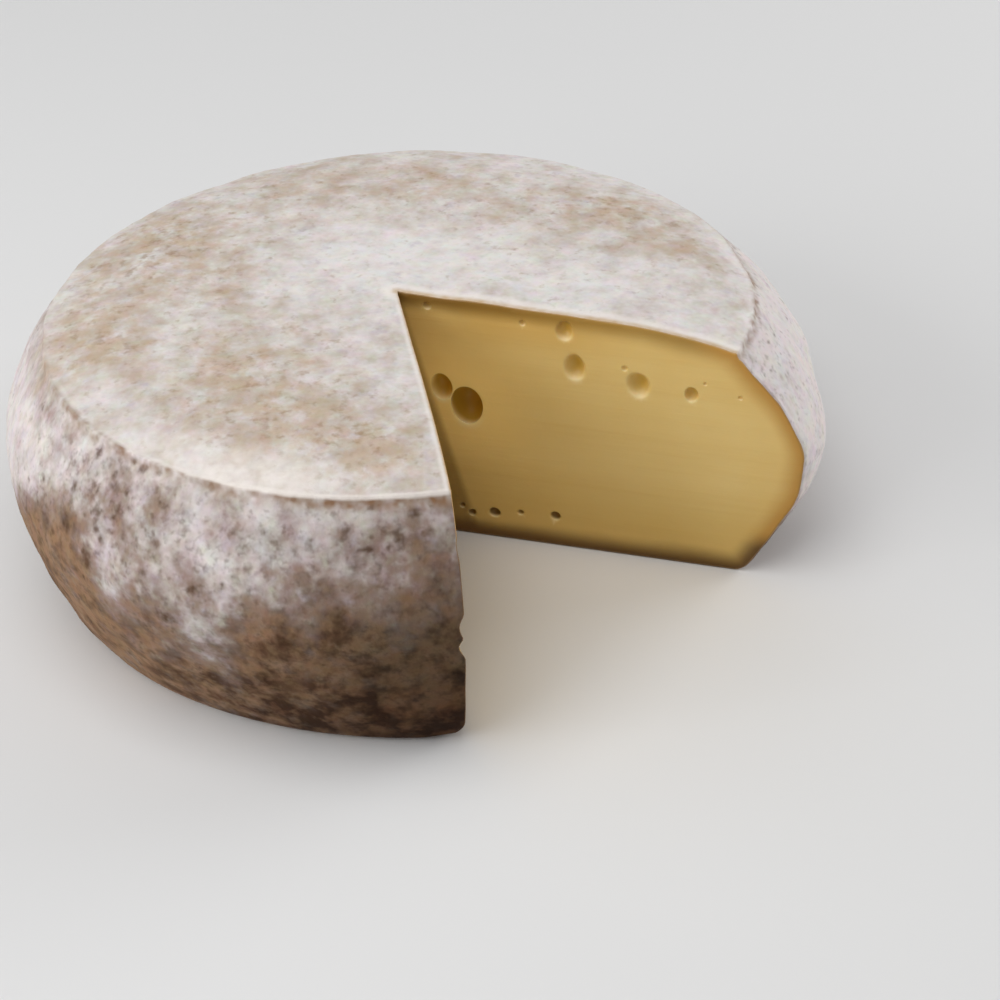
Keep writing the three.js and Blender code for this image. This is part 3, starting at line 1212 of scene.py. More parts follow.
class Board:
    """A node tree under construction, for a material or for geometry."""

    def __init__(self, tree: bpy.types.NodeTree) -> None:
        """Starts on an empty tree."""
        self.tree = tree
        tree.nodes.clear()

    def node(self, kind: str, settings: dict[str, object] | None = None,
             inputs: dict[str | int, object] | None = None) -> bpy.types.Node:
        """Adds a node.

        Args:
            kind: The node's type.
            settings: Its own settings, which are set first.
            inputs: Values or wires for its sockets, by name or number.

        Returns:
            The node.
        """
        made = self.tree.nodes.new(kind)
        for name, setting in (settings or {}).items():
            setattr(made, name, setting)
        for name, given in (inputs or {}).items():
            socket = made.inputs[name]
            if isinstance(given, Wire):
                self.tree.links.new(given.socket, socket)
            elif given is not None:
                socket.default_value = given
        return made

    def wire(self, made: bpy.types.Node, output: str | int = 0) -> Wire:
        """One output of a node."""
        return Wire(self, made.outputs[output])

    def attribute(self, name: str) -> Wire:
        """A number painted on the points of the mesh."""
        return self.wire(self.node("ShaderNodeAttribute", {"attribute_name": name}), "Fac")

    def _vector_math(self, operation: str, vector: Wire, other: tuple[float, ...]) -> Wire:
        """Adds one Vector Math node and returns its result."""
        made = self.node("ShaderNodeVectorMath", {"operation": operation}, {0: vector, 1: other})
        return self.wire(made)

    def scaled(self, vector: Wire, factors: tuple[float, ...]) -> Wire:
        """A vector made longer or shorter along each axis."""
        return self._vector_math("MULTIPLY", vector, factors)

    def moved(self, vector: Wire, shift: tuple[float, ...]) -> Wire:
        """A vector with another one added."""
        return self._vector_math("ADD", vector, shift)

    def millimetres(self, vector: Wire) -> Wire:
        """A vector in metres, given in millimetres."""
        return self.scaled(vector, (1 / MM,) * 3)

    def noise(self, vector: Wire, size: Number, seed: Number, detail: float = 2.0,
              roughness: float = 0.5) -> Wire:
        """Soft noise about 0, mostly between -1 and 1.

        Args:
            vector: Where it is read, in millimetres.
            size: Width of its features, in millimetres.
            seed: Number that picks the noise.
            detail: How many finer layers it has.
            roughness: How strong the finer layers are.

        Returns:
            The noise.
        """
        inputs = {"Vector": vector, "W": seed, "Scale": 1.0 / size, "Detail": detail,
                  "Roughness": roughness}
        made = self.node("ShaderNodeTexNoise", {"noise_dimensions": "4D"}, inputs)
        return (self.wire(made) - 0.5) * 3.0

    def cells(self, vector: Wire, size: Number, seed: Number) -> tuple[Wire, Wire]:
        """Scattered spots.

        Args:
            vector: Where they are read, in millimetres.
            size: Distance between spots, in millimetres.
            seed: Number that picks their places.

        Returns:
            Distance from the nearest spot as a share of the size, and a random number for that spot.
        """
        made = self.node("ShaderNodeTexVoronoi", {"voronoi_dimensions": "4D"},
                         {"Vector": vector, "W": seed, "Scale": 1.0 / size})
        parts = self.node("ShaderNodeSeparateXYZ", {}, {0: self.wire(made, "Color")})
        return self.wire(made, "Distance"), self.wire(parts, "X")

    def blend(self, factor: Number, first: Colour, second: Colour, way: str = "MIX") -> Wire:
        """Two colours mixed.

        Args:
            factor: Share of the second.
            first: The first colour.
            second: The second colour.
            way: How they are mixed.

        Returns:
            The mixed colour.
        """
        colour_factor, colour_a, colour_b, colour_result = 0, 6, 7, 2
        made = self.node("ShaderNodeMix", {"data_type": "RGBA", "blend_type": way},
                         {colour_factor: factor, colour_a: first, colour_b: second})
        return self.wire(made, colour_result)


@dataclass(frozen=True)
class Crust:
    """Relief that grows on the rind, by a Geometry Nodes tree. Sizes are in millimetres.

    Attributes:
        bump_size: Width of the broad bumps.
        grain_size: Width of the finer crust.
        pit_width: Half width of a pit, as a share of their spacing.
        pit_share: Share of the places that have one.
    """

    bump_size: float = 8.5
    bump_height: float = 0.22
    grain_size: float = 2.6
    grain_height: float = 0.13
    pit_spacing: float = 6.5
    pit_width: float = 0.26
    pit_depth: float = 0.24
    pit_share: float = 0.3
    seed: float = 4.0

    def tree(self) -> bpy.types.GeometryNodeTree:
        """Builds the tree, with an input for each size and each material.

        Returns:
            The tree.
        """
        tree = bpy.data.node_groups.new("rind_crust", "GeometryNodeTree")
        board = Board(tree)
        sockets = tree.interface
        sockets.new_socket("Cheese", in_out="INPUT", socket_type="NodeSocketGeometry")
        for name in self.__dataclass_fields__:
            sockets.new_socket(name, in_out="INPUT", socket_type="NodeSocketFloat")
        for finish in Finish:
            sockets.new_socket(finish.name.lower(), in_out="INPUT", socket_type="NodeSocketMaterial")
        sockets.new_socket("Cheese", in_out="OUTPUT", socket_type="NodeSocketGeometry")
        given = board.node("NodeGroupInput")

        def size(name: str) -> Wire:
            """One of the tree's own inputs."""
            return board.wire(given, name)

        def painted(name: str, kind: str) -> Wire:
            """A value on the mesh."""
            made = board.node("GeometryNodeInputNamedAttribute", {"data_type": kind}, {"Name": name})
            return board.wire(made, "Attribute")

        place = board.millimetres(board.wire(board.node("GeometryNodeInputPosition")))
        seed = size("seed")
        bumps = board.noise(place, size("bump_size"), seed, 1.0) * size("bump_height")
        grain = board.noise(place, size("grain_size"), seed + 1.0) * size("grain_height")
        distance, chance = board.cells(place, size("pit_spacing"), seed + 2.0)
        depth = 1 - (distance / size("pit_width")).share()
        pits = depth * depth * (size("pit_share") > chance) * size("pit_depth")
        height = (bumps + grain - pits) * painted("crust", "FLOAT")
        outwards = painted("rind_out", "FLOAT_VECTOR")
        shift = board.node("ShaderNodeVectorMath", {"operation": "SCALE"},
                           {0: outwards, "Scale": height * MM})
        noted = board.node("GeometryNodeStoreNamedAttribute", {"data_type": "FLOAT", "domain": "POINT"},
                           {"Geometry": board.wire(given, "Cheese"), "Name": "relief", "Value": height})
        grown = board.node("GeometryNodeSetPosition", {},
                           {"Geometry": board.wire(noted), "Offset": board.wire(shift)})
        real = board.node("GeometryNodeRealizeInstances", {}, {"Geometry": board.wire(grown)})
        dressed = board.wire(real)
        paste = painted("is_paste", "BOOLEAN")
        rind = board.wire(board.node("FunctionNodeBooleanMath", {"operation": "NOT"}, {0: paste}))
        for finish, selection in ((Finish.RIND, rind), (Finish.PASTE, paste)):
            made = board.node("GeometryNodeSetMaterial", {},
                              {"Geometry": dressed, "Selection": selection,
                               "Material": board.wire(given, finish.name.lower())})
            dressed = board.wire(made)
        board.node("NodeGroupOutput", {}, {"Cheese": dressed})
        return tree

    def grow(self, piece: bpy.types.Object, rind: bpy.types.Material, paste: bpy.types.Material) -> None:
        """Grows the relief on a piece and leaves the result as its plain mesh.

        Args:
            piece: The piece.
            rind: Material of its rind.
            paste: Material of its paste.
        """
        tree = self.tree()
        modifier = piece.modifiers.new("crust", "NODES")
        modifier.node_group = tree
        values = {name: getattr(self, name) for name in self.__dataclass_fields__}
        values |= {Finish.RIND.name.lower(): rind, Finish.PASTE.name.lower(): paste}
        for item in tree.interface.items_tree:
            if item.in_out == "INPUT" and item.name in values:
                modifier[item.identifier] = values[item.name]
        graph = bpy.context.evaluated_depsgraph_get()
        mesh = bpy.data.meshes.new_from_object(
            piece.evaluated_get(graph), preserve_all_data_layers=True, depsgraph=graph)
        piece.modifiers.clear()
        piece.data = mesh


class Shade(Enum):
    """What a patch of the rind looks like: bare brown, thick bloom, ochre, brown spots or a dark mark."""

    BARE = "bare"
    BLOOM = "bloom"
    OCHRE = "ochre"
    SPOTTED = "spotted"
    MARK = "mark"


def bell(value: Array, middle: float, half_width: float) -> Array:
    """Bell curve of a value, 1 at the middle."""
    return np.exp(-(((value - middle) / half_width) ** 2))


@dataclass(frozen=True)
class TopStain:
    """A soft patch on the top face, by its middle, its radius and its strength."""

    x: float
    y: float
    radius: float
    strength: float
    top_begins: Ease = (58.0, 66.0)

    def share(self, points: Array) -> Array:
        """How much of the patch there is at each point."""
        distance = np.hypot(points[:, 0] - self.x, points[:, 1] - self.y)
        return self.strength * smooth_step(points[:, 2], *self.top_begins) * bell(distance, 0, self.radius)


@dataclass(frozen=True)
class SideStain:
    """A soft patch on the side, by its angle and height, its half width in degrees and its half height."""

    angle: float
    height: float
    half_width: float
    half_height: float
    strength: float
    side_begins: Ease = (84.0, 90.0)

    def share(self, points: Array) -> Array:
        """How much of the patch there is at each point.

        Args:
            points: The points.

        Returns:
            One share for each point, as strong as the patch at its middle.
        """
        angle = np.degrees(np.arctan2(points[:, 1], points[:, 0]))
        turned = (angle - self.angle + 180) % 360 - 180
        on_side = smooth_step(np.hypot(points[:, 0], points[:, 1]), *self.side_begins)
        away = (turned / self.half_width) ** 2 + ((points[:, 2] - self.height) / self.half_height) ** 2
        return self.strength * on_side * np.exp(-away)


MARKS: tuple[SideStain, ...] = tuple(SideStain(*mark) for mark in (
    (218.8, 68.1, 0.8, 2.2, 0.9), (225.8, 69.7, 0.8, 1.1, 0.9), (228.0, 69.1, 0.9, 1.3, 0.9),
    (231.0, 69.6, 0.7, 1.2, 0.8), (223.2, 66.0, 0.7, 1.4, 0.7), (216.3, 59.1, 0.7, 2.6, 0.8),
    (221.0, 61.3, 0.5, 1.9, 0.75), (222.0, 58.0, 0.6, 1.4, 0.7), (224.2, 60.2, 0.5, 1.1, 0.7),
    (225.2, 57.9, 0.9, 0.8, 0.75), (226.0, 60.1, 0.5, 1.4, 0.65), (228.0, 62.8, 0.6, 1.9, 0.6),
    (234.0, 64.6, 0.8, 2.4, 0.6), (237.2, 60.0, 0.7, 1.2, 0.6), (216.8, 50.1, 1.2, 2.4, 0.8),
    (221.5, 45.9, 1.2, 3.6, 0.9), (232.0, 49.2, 1.0, 1.7, 0.7), (239.5, 48.6, 0.9, 1.9, 0.8),
    (243.8, 50.7, 0.7, 1.4, 0.7), (235.3, 39.5, 2.4, 2.0, 0.8), (246.0, 59.6, 0.7, 1.4, 0.6),
    (247.2, 55.4, 0.8, 1.4, 0.7), (255.5, 62.0, 0.8, 1.4, 0.7), (260.2, 63.7, 0.8, 1.4, 0.8),
    (267.5, 62.3, 0.9, 2.3, 1.0), (269.8, 66.5, 1.2, 1.2, 0.9), (262.8, 60.2, 1.6, 0.8, 0.8),
    (264.0, 68.2, 1.0, 0.9, 0.9), (250.5, 69.1, 0.7, 0.8, 0.7), (259.0, 46.1, 1.2, 3.5, 0.8),
    (259.2, 39.7, 1.8, 2.6, 0.9), (251.5, 35.2, 1.2, 3.6, 1.0), (248.5, 35.5, 1.6, 3.0, 0.7),
    (254.0, 35.0, 0.8, 1.4, 0.7), (264.2, 37.0, 1.2, 1.6, 0.7), (265.5, 47.6, 1.0, 1.4, 0.6),
    (257.0, 53.8, 0.8, 1.4, 0.6), (266.0, 15.0, 1.6, 2.0, 0.7), (248.3, 16.2, 2.0, 1.6, 0.7),
))  # dark marks on the side

STAINS: dict[Shade, tuple[TopStain | SideStain, ...]] = {
    Shade.OCHRE: (
        TopStain(-56, 42, 14, 0.75), TopStain(-70, 26, 15, 0.55), TopStain(-50, 15, 16, 0.42),
        TopStain(-75, -2, 13, 0.5), TopStain(-68, -20, 10, 0.5), TopStain(-38, -34, 24, 0.5),
        TopStain(-34, -60, 20, 0.5), TopStain(-10, -75, 13, 0.8), TopStain(-82, -24, 9, 0.5),
        TopStain(-26, 62, 22, 0.42), TopStain(10, 62, 20, 0.42), TopStain(40, 42, 18, 0.52),
        TopStain(66, 38, 15, 0.5), TopStain(75, 18, 12, 0.5), TopStain(-86, -10, 8, 0.3),
    ),
    Shade.BLOOM: (
        TopStain(-8, 14, 26, 0.3), TopStain(44, -8, 24, 0.12), TopStain(12, 20, 18, 0.18),
        SideStain(226, 43, 4, 8, 0.4), SideStain(239, 34, 4, 8, 0.3), SideStain(190, 52, 12, 20, 0.22),
        SideStain(0, 42, 34, 28, 0.6),
    ),
    Shade.BARE: (
        SideStain(233, 36, 5, 4, 0.3), SideStain(224, 60, 8, 8, 0.24), SideStain(250, 37, 4, 8, 0.5),
        SideStain(260, 42, 4, 6, 0.45), SideStain(192, 69, 12, 6, 0.26),
    ),
    Shade.SPOTTED: (
        SideStain(221, 61, 8, 7, 0.85), SideStain(0, 48, 34, 24, -0.5), SideStain(233, 60, 9, 5, 0.55),
        SideStain(256, 59, 12, 6, 0.55), SideStain(236, 47, 11, 8, 0.5), SideStain(212, 47, 10, 6, 0.9),
        SideStain(190, 54, 14, 20, -1.3), SideStain(60, 50, 40, 12, 0.5), SideStain(140, 46, 34, 12, 0.6),
    ),
    Shade.MARK: MARKS,
}

BLOOM_FOOT: tuple[tuple[float, float], ...] = (
    (-24, 6), (0, 4), (25, 10), (50, 24), (80, 34), (110, 26), (140, 34), (165, 24), (185, 22), (190, 27),
    (195, 34), (200, 41), (205, 48), (210, 51), (216, 52), (220, 50), (223, 45), (225, 40), (230, 38),
    (236, 38), (239, 31), (243, 33), (247, 40), (250, 45), (256, 46), (262, 48), (268, 50), (276, 56),
)  # angle in degrees, and the height on the side where the bloom gives way to the brown

RIM_LINE: tuple[tuple[float, float, float], ...] = (
    (-21, 0.0, 0.9), (14, 0.0, 0.8), (40, 0.0, 0.4), (180, 0.0, 0.4), (195, -0.6, 0.26),
    (205, -0.9, 0.62), (215, -0.8, 0.85), (230, -0.6, 0.9), (246, -0.2, 0.75), (258, 0.3, 0.95),
    (268, 0.45, 1.0), (276, 0.45, 1.0),
)  # angle in degrees, how far below the rim its brown line runs, and the line's strength


@dataclass(frozen=True)
class RindPattern:
    """Where the rind is pale, brown or worn, and where painted shade darkens the front of the side, as values
    painted on the skin's points.

    Angles are in degrees about the axis. A band is the middle and half width of a bell curve.
    """

    side_bloom: float = 0.54
    top_bloom: float = 0.42
    fade_angles: tuple[float, ...] = (180, 196, 204, 218, 232)
    fade_heights: tuple[float, ...] = (24.0, 9.0, 6.0, 6.0, 22.0)
    chalk: float = 0.75
    chalk_bands: tuple[tuple[float, float, float], ...] = ((1.0, 246, 13), (0.3, 228, 9))
    chalk_from_rim: Ease = (-17, -4)
    worn_least: float = 0.1
    worn_more: float = 0.6
    worn_angles: Ease = (214, 250)
    shade_end: float = 300
    # painted shade on the front of the side, low down and beside the left cut
    low_painted_shade: float = 0.64
    low_painted_shade_angles: Ease = (226, 268)
    low_painted_shade_heights: Ease = (8, 54)
    low_painted_shade_fade: float = 0.85
    cut_painted_shade: float = 0.22
    cut_painted_shade_angles: Ease = (250, 274)
    cut_painted_shade_heights: Ease = (70, 52)
    shadow_angles: Ease = (248, 268)
    shadow_top: Ease = (54, 40)
    shadow_foot: Ease = (12, 28)
    calm_band: Ease = (190, 16)
    russet_band: Ease = (214, 16)
    russet_heights: Ease = (52, 24)
    plain_spots: float = 0.05
    ochre_wear: float = 0.2

    def paint(self, values: dict[str, Array], points: Array) -> None:
        """Adds the values that the rind's finish reads.

        Args:
            values: The skin's values by name, with on_side and from_rim among them.
            points: The skin's points.
        """
        height = points[:, 2]
        degrees = np.degrees(np.arctan2(points[:, 1], points[:, 0])) % 360
        on_side, from_rim = values["on_side"], values["from_rim"]
        in_front = on_side * (degrees < self.shade_end)
        self._paint_rim(values, degrees)
        # Painted shade on the front of the side: low down, and high up beside the left cut.
        low_painted_shade = self.low_painted_shade * smooth_step(degrees, *self.low_painted_shade_angles)
        low_painted_shade *= 1 - self.low_painted_shade_fade * smooth_step(height, *self.low_painted_shade_heights)
        cut_painted_shade = self.cut_painted_shade * smooth_step(degrees, *self.cut_painted_shade_angles)
        cut_painted_shade *= smooth_step(height, *self.cut_painted_shade_heights)
        values["painted_shade"] = in_front * (low_painted_shade + cut_painted_shade)
        values["shadow"] = (in_front * smooth_step(degrees, *self.shadow_angles)
                            * smooth_step(height, *self.shadow_top) * smooth_step(height, *self.shadow_foot))
        values["calm"] = on_side * bell(degrees, *self.calm_band)
        values["russet"] = on_side * bell(degrees, *self.russet_band)
        values["russet"] *= smooth_step(height, *self.russet_heights)
        chalk = sum(share * bell(degrees, middle, width) for share, middle, width in self.chalk_bands)
        chalk = self.chalk * np.clip(chalk, 0, 1) * smooth_step(from_rim, *self.chalk_from_rim)
        values["chalk"] = chalk * (1 - on_side)
        shares = {shade: sum(stain.share(points) for stain in stains) for shade, stains in STAINS.items()}
        foot = np.interp(degrees, *zip(*BLOOM_FOOT), period=360)
        fade = np.interp(degrees, self.fade_angles, self.fade_heights)
        bloom = self.side_bloom * np.clip((height - foot) / fade, -1, 1) * on_side
        bloom += self.top_bloom * (1 - on_side) - self.ochre_wear * shares[Shade.OCHRE]
        values["bloom_bias"] = bloom + shares[Shade.BLOOM] - shares[Shade.BARE]
        values["ochre"] = np.clip(shares[Shade.OCHRE], 0, 1)
        values["spotted"] = self.plain_spots + shares[Shade.SPOTTED]
        values["marks"] = np.clip(shares[Shade.MARK], 0, 1)

    def _paint_rim(self, values: dict[str, Array], degrees: Array) -> None:
        """Adds how worn the rim is, and the place and strength of the brown line under it.

        Args:
            values: The skin's values by name.
            degrees: Angle of each point.
        """
        angles, shifts, strengths = zip(*RIM_LINE)
        worn = self.worn_more * smooth_step(degrees, *self.worn_angles) * (degrees < self.shade_end)
        values["worn_rim"] = self.worn_least + worn
        values["rim_line"] = values["from_rim"] - np.interp(degrees, angles, shifts, period=360)
        values["under_line"] = np.interp(degrees, angles, strengths, period=360)


@dataclass(frozen=True)
class Grain:
    """A layer of noise: its size in millimetres, seed, detail, roughness, and how level strokes it has."""

    size: float
    seed: float
    detail: float = 2.0
    roughness: float = 0.5
    level: float = 1.0

    def on(self, board: Board, place: Wire) -> Wire:
        """The noise at a place."""
        read_at = board.scaled(place, (self.level, self.level, 1.0))
        return board.noise(read_at, self.size, self.seed, self.detail, self.roughness)


@dataclass(frozen=True)
class Ramp:
    """An eased step of a weighted sum of readings, with where it is 0 and where it is 1."""

    weights: dict[str, float] | str
    low: float
    high: float

    def on(self, read: Readings) -> Wire:
        """Works out the step.

        Args:
            read: What the finish reads, by name.

        Returns:
            The step. A name alone is read as it is.
        """
        if isinstance(self.weights, str):
            return read[self.weights].step(self.low, self.high)
        parts = [read[name] * weight for name, weight in self.weights.items()]
        return sum(parts[1:], start=parts[0]).step(self.low, self.high)


@dataclass(frozen=True)
class Tint:
    """A colour laid over others where all its ramps overlap.

    Attributes:
        share: How much of it there is at most.
        ramps: Where it lies.
        where: Reading that the share is multiplied by, if there is one.
    """

    colour: Tone
    share: float
    ramps: tuple[Ramp, ...]
    where: str = ""

    def lay(self, board: Board, read: Readings, under: Wire) -> Wire:
        """Lays the colour.

        Args:
            board: The tree.
            read: What the finish reads, by name.
            under: The colour so far.

        Returns:
            The colour with this one over it.
        """
        factors = [ramp.on(read) for ramp in self.ramps]
        if self.where:
            factors.append(read[self.where])
        return board.blend(reduce(mul, factors) * self.share, under, self.colour)


def lay_all(tints: tuple[Tint, ...], board: Board, read: Readings, under: Wire) -> Wire:
    """The colour with each tint laid over it in turn."""
    return reduce(lambda colour, tint: tint.lay(board, read, colour), tints, under)


def readings(board: Board, grains: dict[str, Grain], painted: tuple[str, ...]) -> Readings:
    """Gathers what a finish reads.

    Args:
        board: The tree.
        grains: Layers of noise, by name.
        painted: Names of values on the mesh.

    Returns:
        The place in millimetres, the layers and the values, by name.
    """
    place = board.millimetres(board.wire(board.node("ShaderNodeTexCoord"), "Object"))
    read = {"place": place}
    read |= {name: grain.on(board, place) for name, grain in grains.items()}
    return read | {name: board.attribute(name) for name in painted}


def new_material(name: str) -> tuple[bpy.types.Material, Board]:
    """Starts a material.

    Args:
        name: Its name.

    Returns:
        The material, and the board on its empty tree.
    """
    material = bpy.data.materials.new(name)
    material.use_nodes = True
    return material, Board(material.node_tree)


def give_surface(board: Board, sockets: dict[str, object]) -> None:
    """Ends a material's tree in a surface with the given sockets."""
    surface = board.node("ShaderNodeBsdfPrincipled", {}, sockets)
    board.node("ShaderNodeOutputMaterial", {}, {"Surface": board.wire(surface)})


RIND_GRAINS: dict[str, Grain] = {
    "skin": Grain(0.6, 31.0, 1.0), "fine": Grain(1.4, 21.0, 1.0), "speck": Grain(1.7, 63.0, 1.0),
    "grit": Grain(2.0, 43.0, 2.0, 0.6), "fleck": Grain(2.3, 61.0), "dashes": Grain(2.6, 72.0, 1.0),
    "spot": Grain(2.8, 62.0), "mottle": Grain(3.2, 24.0, 1.0), "tint": Grain(4.0, 51.0, 2.0, 0.6),
    "rust": Grain(6.0, 52.0, 3.0, 0.62), "wear": Grain(6.0, 71.0, 2.0, 0.6),
    "turn": Grain(6.5, 41.0, 3.0, 0.55), "blotch": Grain(8.0, 22.0), "red": Grain(16.0, 42.0),
    "broad": Grain(28.0, 23.0, 1.0),
}
RIND_VALUES = ("relief", "on_side", "bloom_bias", "calm", "painted_shade", "shadow", "russet", "ochre", "spotted",
               "marks", "from_cut", "worn_rim", "rim_line", "under_line", "chalk")
PASTE_GRAINS: dict[str, Grain] = {
    "pores": Grain(0.7, 85.0, 1.0), "grain": Grain(0.9, 82.0, 3.0, 0.6), "wander": Grain(14.0, 81.0),
    "knife": Grain(1.1, 83.0, 3.0, 0.7, 0.035), "strokes": Grain(6.0, 84.0, 2.0, 0.5, 0.02),
}
PASTE_VALUES = ("rind_depth", "eye_depth", "face_out", "face_up", "dark_border", "painted_lip_highlight")


@dataclass(frozen=True)
class RindFinish:
    """Natural grey rind: pale bloom over brown, with ochre stains, flecks and a pale rim, with painted shade
    on the front of the side and a painted highlight beside the cut.
    """

    bloom: Tone = linear_colour(234, 229, 227)
    side_bloom: Tone = linear_colour(224, 216, 214)
    thin_bloom: Tone = linear_colour(198, 186, 175)
    veil: Tone = linear_colour(152, 133, 124)
    lilac: Tone = linear_colour(195, 184, 193)
    moss: Tone = linear_colour(194, 192, 172)
    ochre: Tone = linear_colour(194, 168, 140)
    ash: Tone = linear_colour(156, 132, 112)
    bare: Tone = linear_colour(146, 115, 88)
    umber: Tone = linear_colour(74, 49, 31)
    soot: Tone = linear_colour(58, 40, 27)
    # painted shade, multiplied over the front of the side
    painted_shade: Tone = (0.25, 0.165, 0.085, 1.0)
    shadow: Tone = (0.33, 0.5, 0.55, 1.0)
    russet: Tone = linear_colour(156, 122, 92)
    fleck: Tone = linear_colour(152, 124, 94)
    spot: Tone = linear_colour(84, 60, 42)
    rim: Tone = linear_colour(250, 242, 235)
    under_rim: Tone = linear_colour(138, 104, 76)
    # painted highlight along the cut edge on the top
    cut_edge_highlight: Tone = linear_colour(204, 176, 138)
    roughness: float = 0.9
    specular: float = 0.08
    sheen: float = 0.02
    sheen_roughness: float = 0.6
    bump: float = 0.8
    bloom_edge: Ease = (-0.55, 0.45)
    calm_colour: float = 0.45
    calm_skin: float = 0.6
    shadow_share: float = 0.36
    pit_darkening_below: float = 0.12
    pit_darkening_share: float = 0.35
    top_ochre: float = 0.85
    stain_edge: Ease = (0.0, 0.85)
    stain_share: float = 0.64
    mark_edge: Ease = (0.15, 0.9)
    mark_share: float = 0.8
    variations: tuple[tuple[float, float, float], ...] = ((2.0, 65.0, 0.07), (4.5, 66.0, 0.09))
    brown_tints: tuple[Tint, ...] = (
        Tint(ash, 0.6, (Ramp({"mottle": 0.4, "turn": -0.6}, -0.05, 0.5),)),
        Tint(ash, 0.5, (Ramp({"grit": -0.7, "mottle": -0.3}, 0.1, 0.9),)),
        Tint(soot, 0.62, (Ramp({"grit": 0.7, "mottle": 0.5}, -0.1, 0.8),)),
    )
    pale_tints: tuple[Tint, ...] = (
        Tint(lilac, 0.6, (Ramp("tint", 0.1, 0.9),)),
        Tint(moss, 0.5, (Ramp({"tint": -1.0}, 0.15, 0.9),)),
    )
    fleck_tints: tuple[Tint, ...] = (
        Tint(fleck, 0.6, (Ramp({"fleck": 1.0, "ochre": 0.4}, 0.2, 1.15),), "on_top"),
        Tint(spot, 0.8, (Ramp({"spot": 1.0, "spotted": 0.26}, 0.15, 1.15),), "on_side"),
        Tint(spot, 0.42, (Ramp({"speck": 1.0, "spotted": 0.15}, 0.1, 1.1),), "on_side"),
    )

    def material(self) -> bpy.types.Material:
        """Builds the material.

        Returns:
            The material.
        """
        material, board = new_material("grey_rind")
        read = readings(board, RIND_GRAINS, RIND_VALUES)
        read["on_top"] = 1 - read["on_side"]
        relief, fine, mottle, calm = (read[name] for name in ("relief", "fine", "mottle", "calm"))
        uneven = 0.5 * read["blotch"] + 0.24 * mottle + 0.18 * read["broad"] + 0.05 * fine + 0.2 * relief
        uneven = uneven * (1 - self.calm_colour * calm)
        cover = read["bloom_bias"] + uneven * (0.75 + 0.25 * read["on_side"])
        pale = self._pale(board, read, cover)
        colour = board.blend(cover.step(*self.bloom_edge), self._brown(board, read), pale)
        colour = lay_all(self.fleck_tints, board, read, colour)
        mark = read["marks"] * (0.95 + 0.5 * (read["speck"] + 0.15 * read["spotted"]))
        colour = board.blend(mark.step(*self.mark_edge) * self.mark_share, colour, self.spot)
        # Painted shade on the front of the side.
        colour = board.blend(read["painted_shade"], colour, self.painted_shade, "MULTIPLY")
        colour = board.blend(read["shadow"] * self.shadow_share, colour, self.shadow, "MULTIPLY")
        for size, seed, strength in self.variations:
            colour = self._varied(board, read["place"], colour, Grain(size, seed), strength)
        colour = self._edges(board, read, colour)
        # Darker in the pits of the relief.
        pit_darkening = (0.0 - relief - self.pit_darkening_below).share()
        colour = board.blend(pit_darkening * self.pit_darkening_share, colour, self.fleck)

        skin = (0.06 * fine + 0.12 * mottle) * (1 - self.calm_skin * calm) + 0.015 * read["skin"]
        bump = board.node("ShaderNodeBump", {}, {"Strength": self.bump, "Distance": MM, "Height": skin})
        give_surface(board, {
            "Base Color": colour, "Roughness": self.roughness, "Specular IOR Level": self.specular,
            "Sheen Weight": self.sheen, "Sheen Roughness": self.sheen_roughness,
            "Normal": board.wire(bump)})
        return material

    def _brown(self, board: Board, read: Readings) -> Wire:
        """Colour under the bloom: ochre on the top, and browns that darken towards the foot on the side.

        Args:
            board: The tree.
            read: What the finish reads, by name.

        Returns:
            The colour.
        """
        height = board.wire(board.node("ShaderNodeSeparateXYZ", {}, {0: read["place"]}), "Z")
        dark = 0.23 + 1.5 * read["turn"] + 0.5 * height.step(44.0, 8.0)
        dark = dark + 0.45 * read["mottle"] + 0.1 * read["fine"] - 0.4 * read["russet"]
        brown = board.blend(dark.share(), self.bare, self.umber)
        red = read["red"].step(0.0, 0.8) * 0.3 + read["russet"] * 0.5
        brown = board.blend(red.share(), brown, self.russet)
        brown = lay_all(self.brown_tints, board, read, brown)
        return board.blend(read["on_top"] * self.top_ochre, brown, self.ochre)

    def _pale(self, board: Board, read: Readings, cover: Wire) -> Wire:
        """Colour of the bloom: near white where thick, warmer where thin, tinted and stained in patches.

        Args:
            board: The tree.
            read: What the finish reads, by name.
            cover: How thick the bloom is.

        Returns:
            The colour.
        """
        thin = board.blend(read["on_side"], self.thin_bloom, self.veil)
        full = board.blend(read["on_side"], self.bloom, self.side_bloom)
        thick = (cover - 0.4 - 0.06 * read["on_side"] + 0.08 * read["fine"]).step(-0.5, 0.5)
        pale = lay_all(self.pale_tints, board, read, board.blend(thick, thin, full))
        rust = read["rust"]
        warm = read["ochre"] * (0.7 + 1.5 * rust + 0.5 * read["mottle"]) + 0.22 * rust
        return board.blend(warm.step(*self.stain_edge) * self.stain_share, pale, self.ochre)

    @staticmethod
    def _varied(board: Board, place: Wire, colour: Wire, grain: Grain, strength: float) -> Wire:
        """Makes red, green and blue each a little stronger or weaker from place to place.

        Args:
            board: The tree.
            place: Where the noise is read.
            colour: The colour so far.
            grain: The noise's size, seed and detail.
            strength: How much a channel changes.

        Returns:
            The varied colour.
        """
        made = board.node("ShaderNodeTexNoise", {"noise_dimensions": "4D"}, {
            "Vector": place, "W": grain.seed, "Scale": 1 / grain.size, "Detail": grain.detail})
        doubled = board.scaled(board.wire(made, "Color"), (2 * strength,) * 3)
        shares = board.moved(doubled, (1 - strength,) * 3)
        return board.blend(1.0, colour, shares, "MULTIPLY")

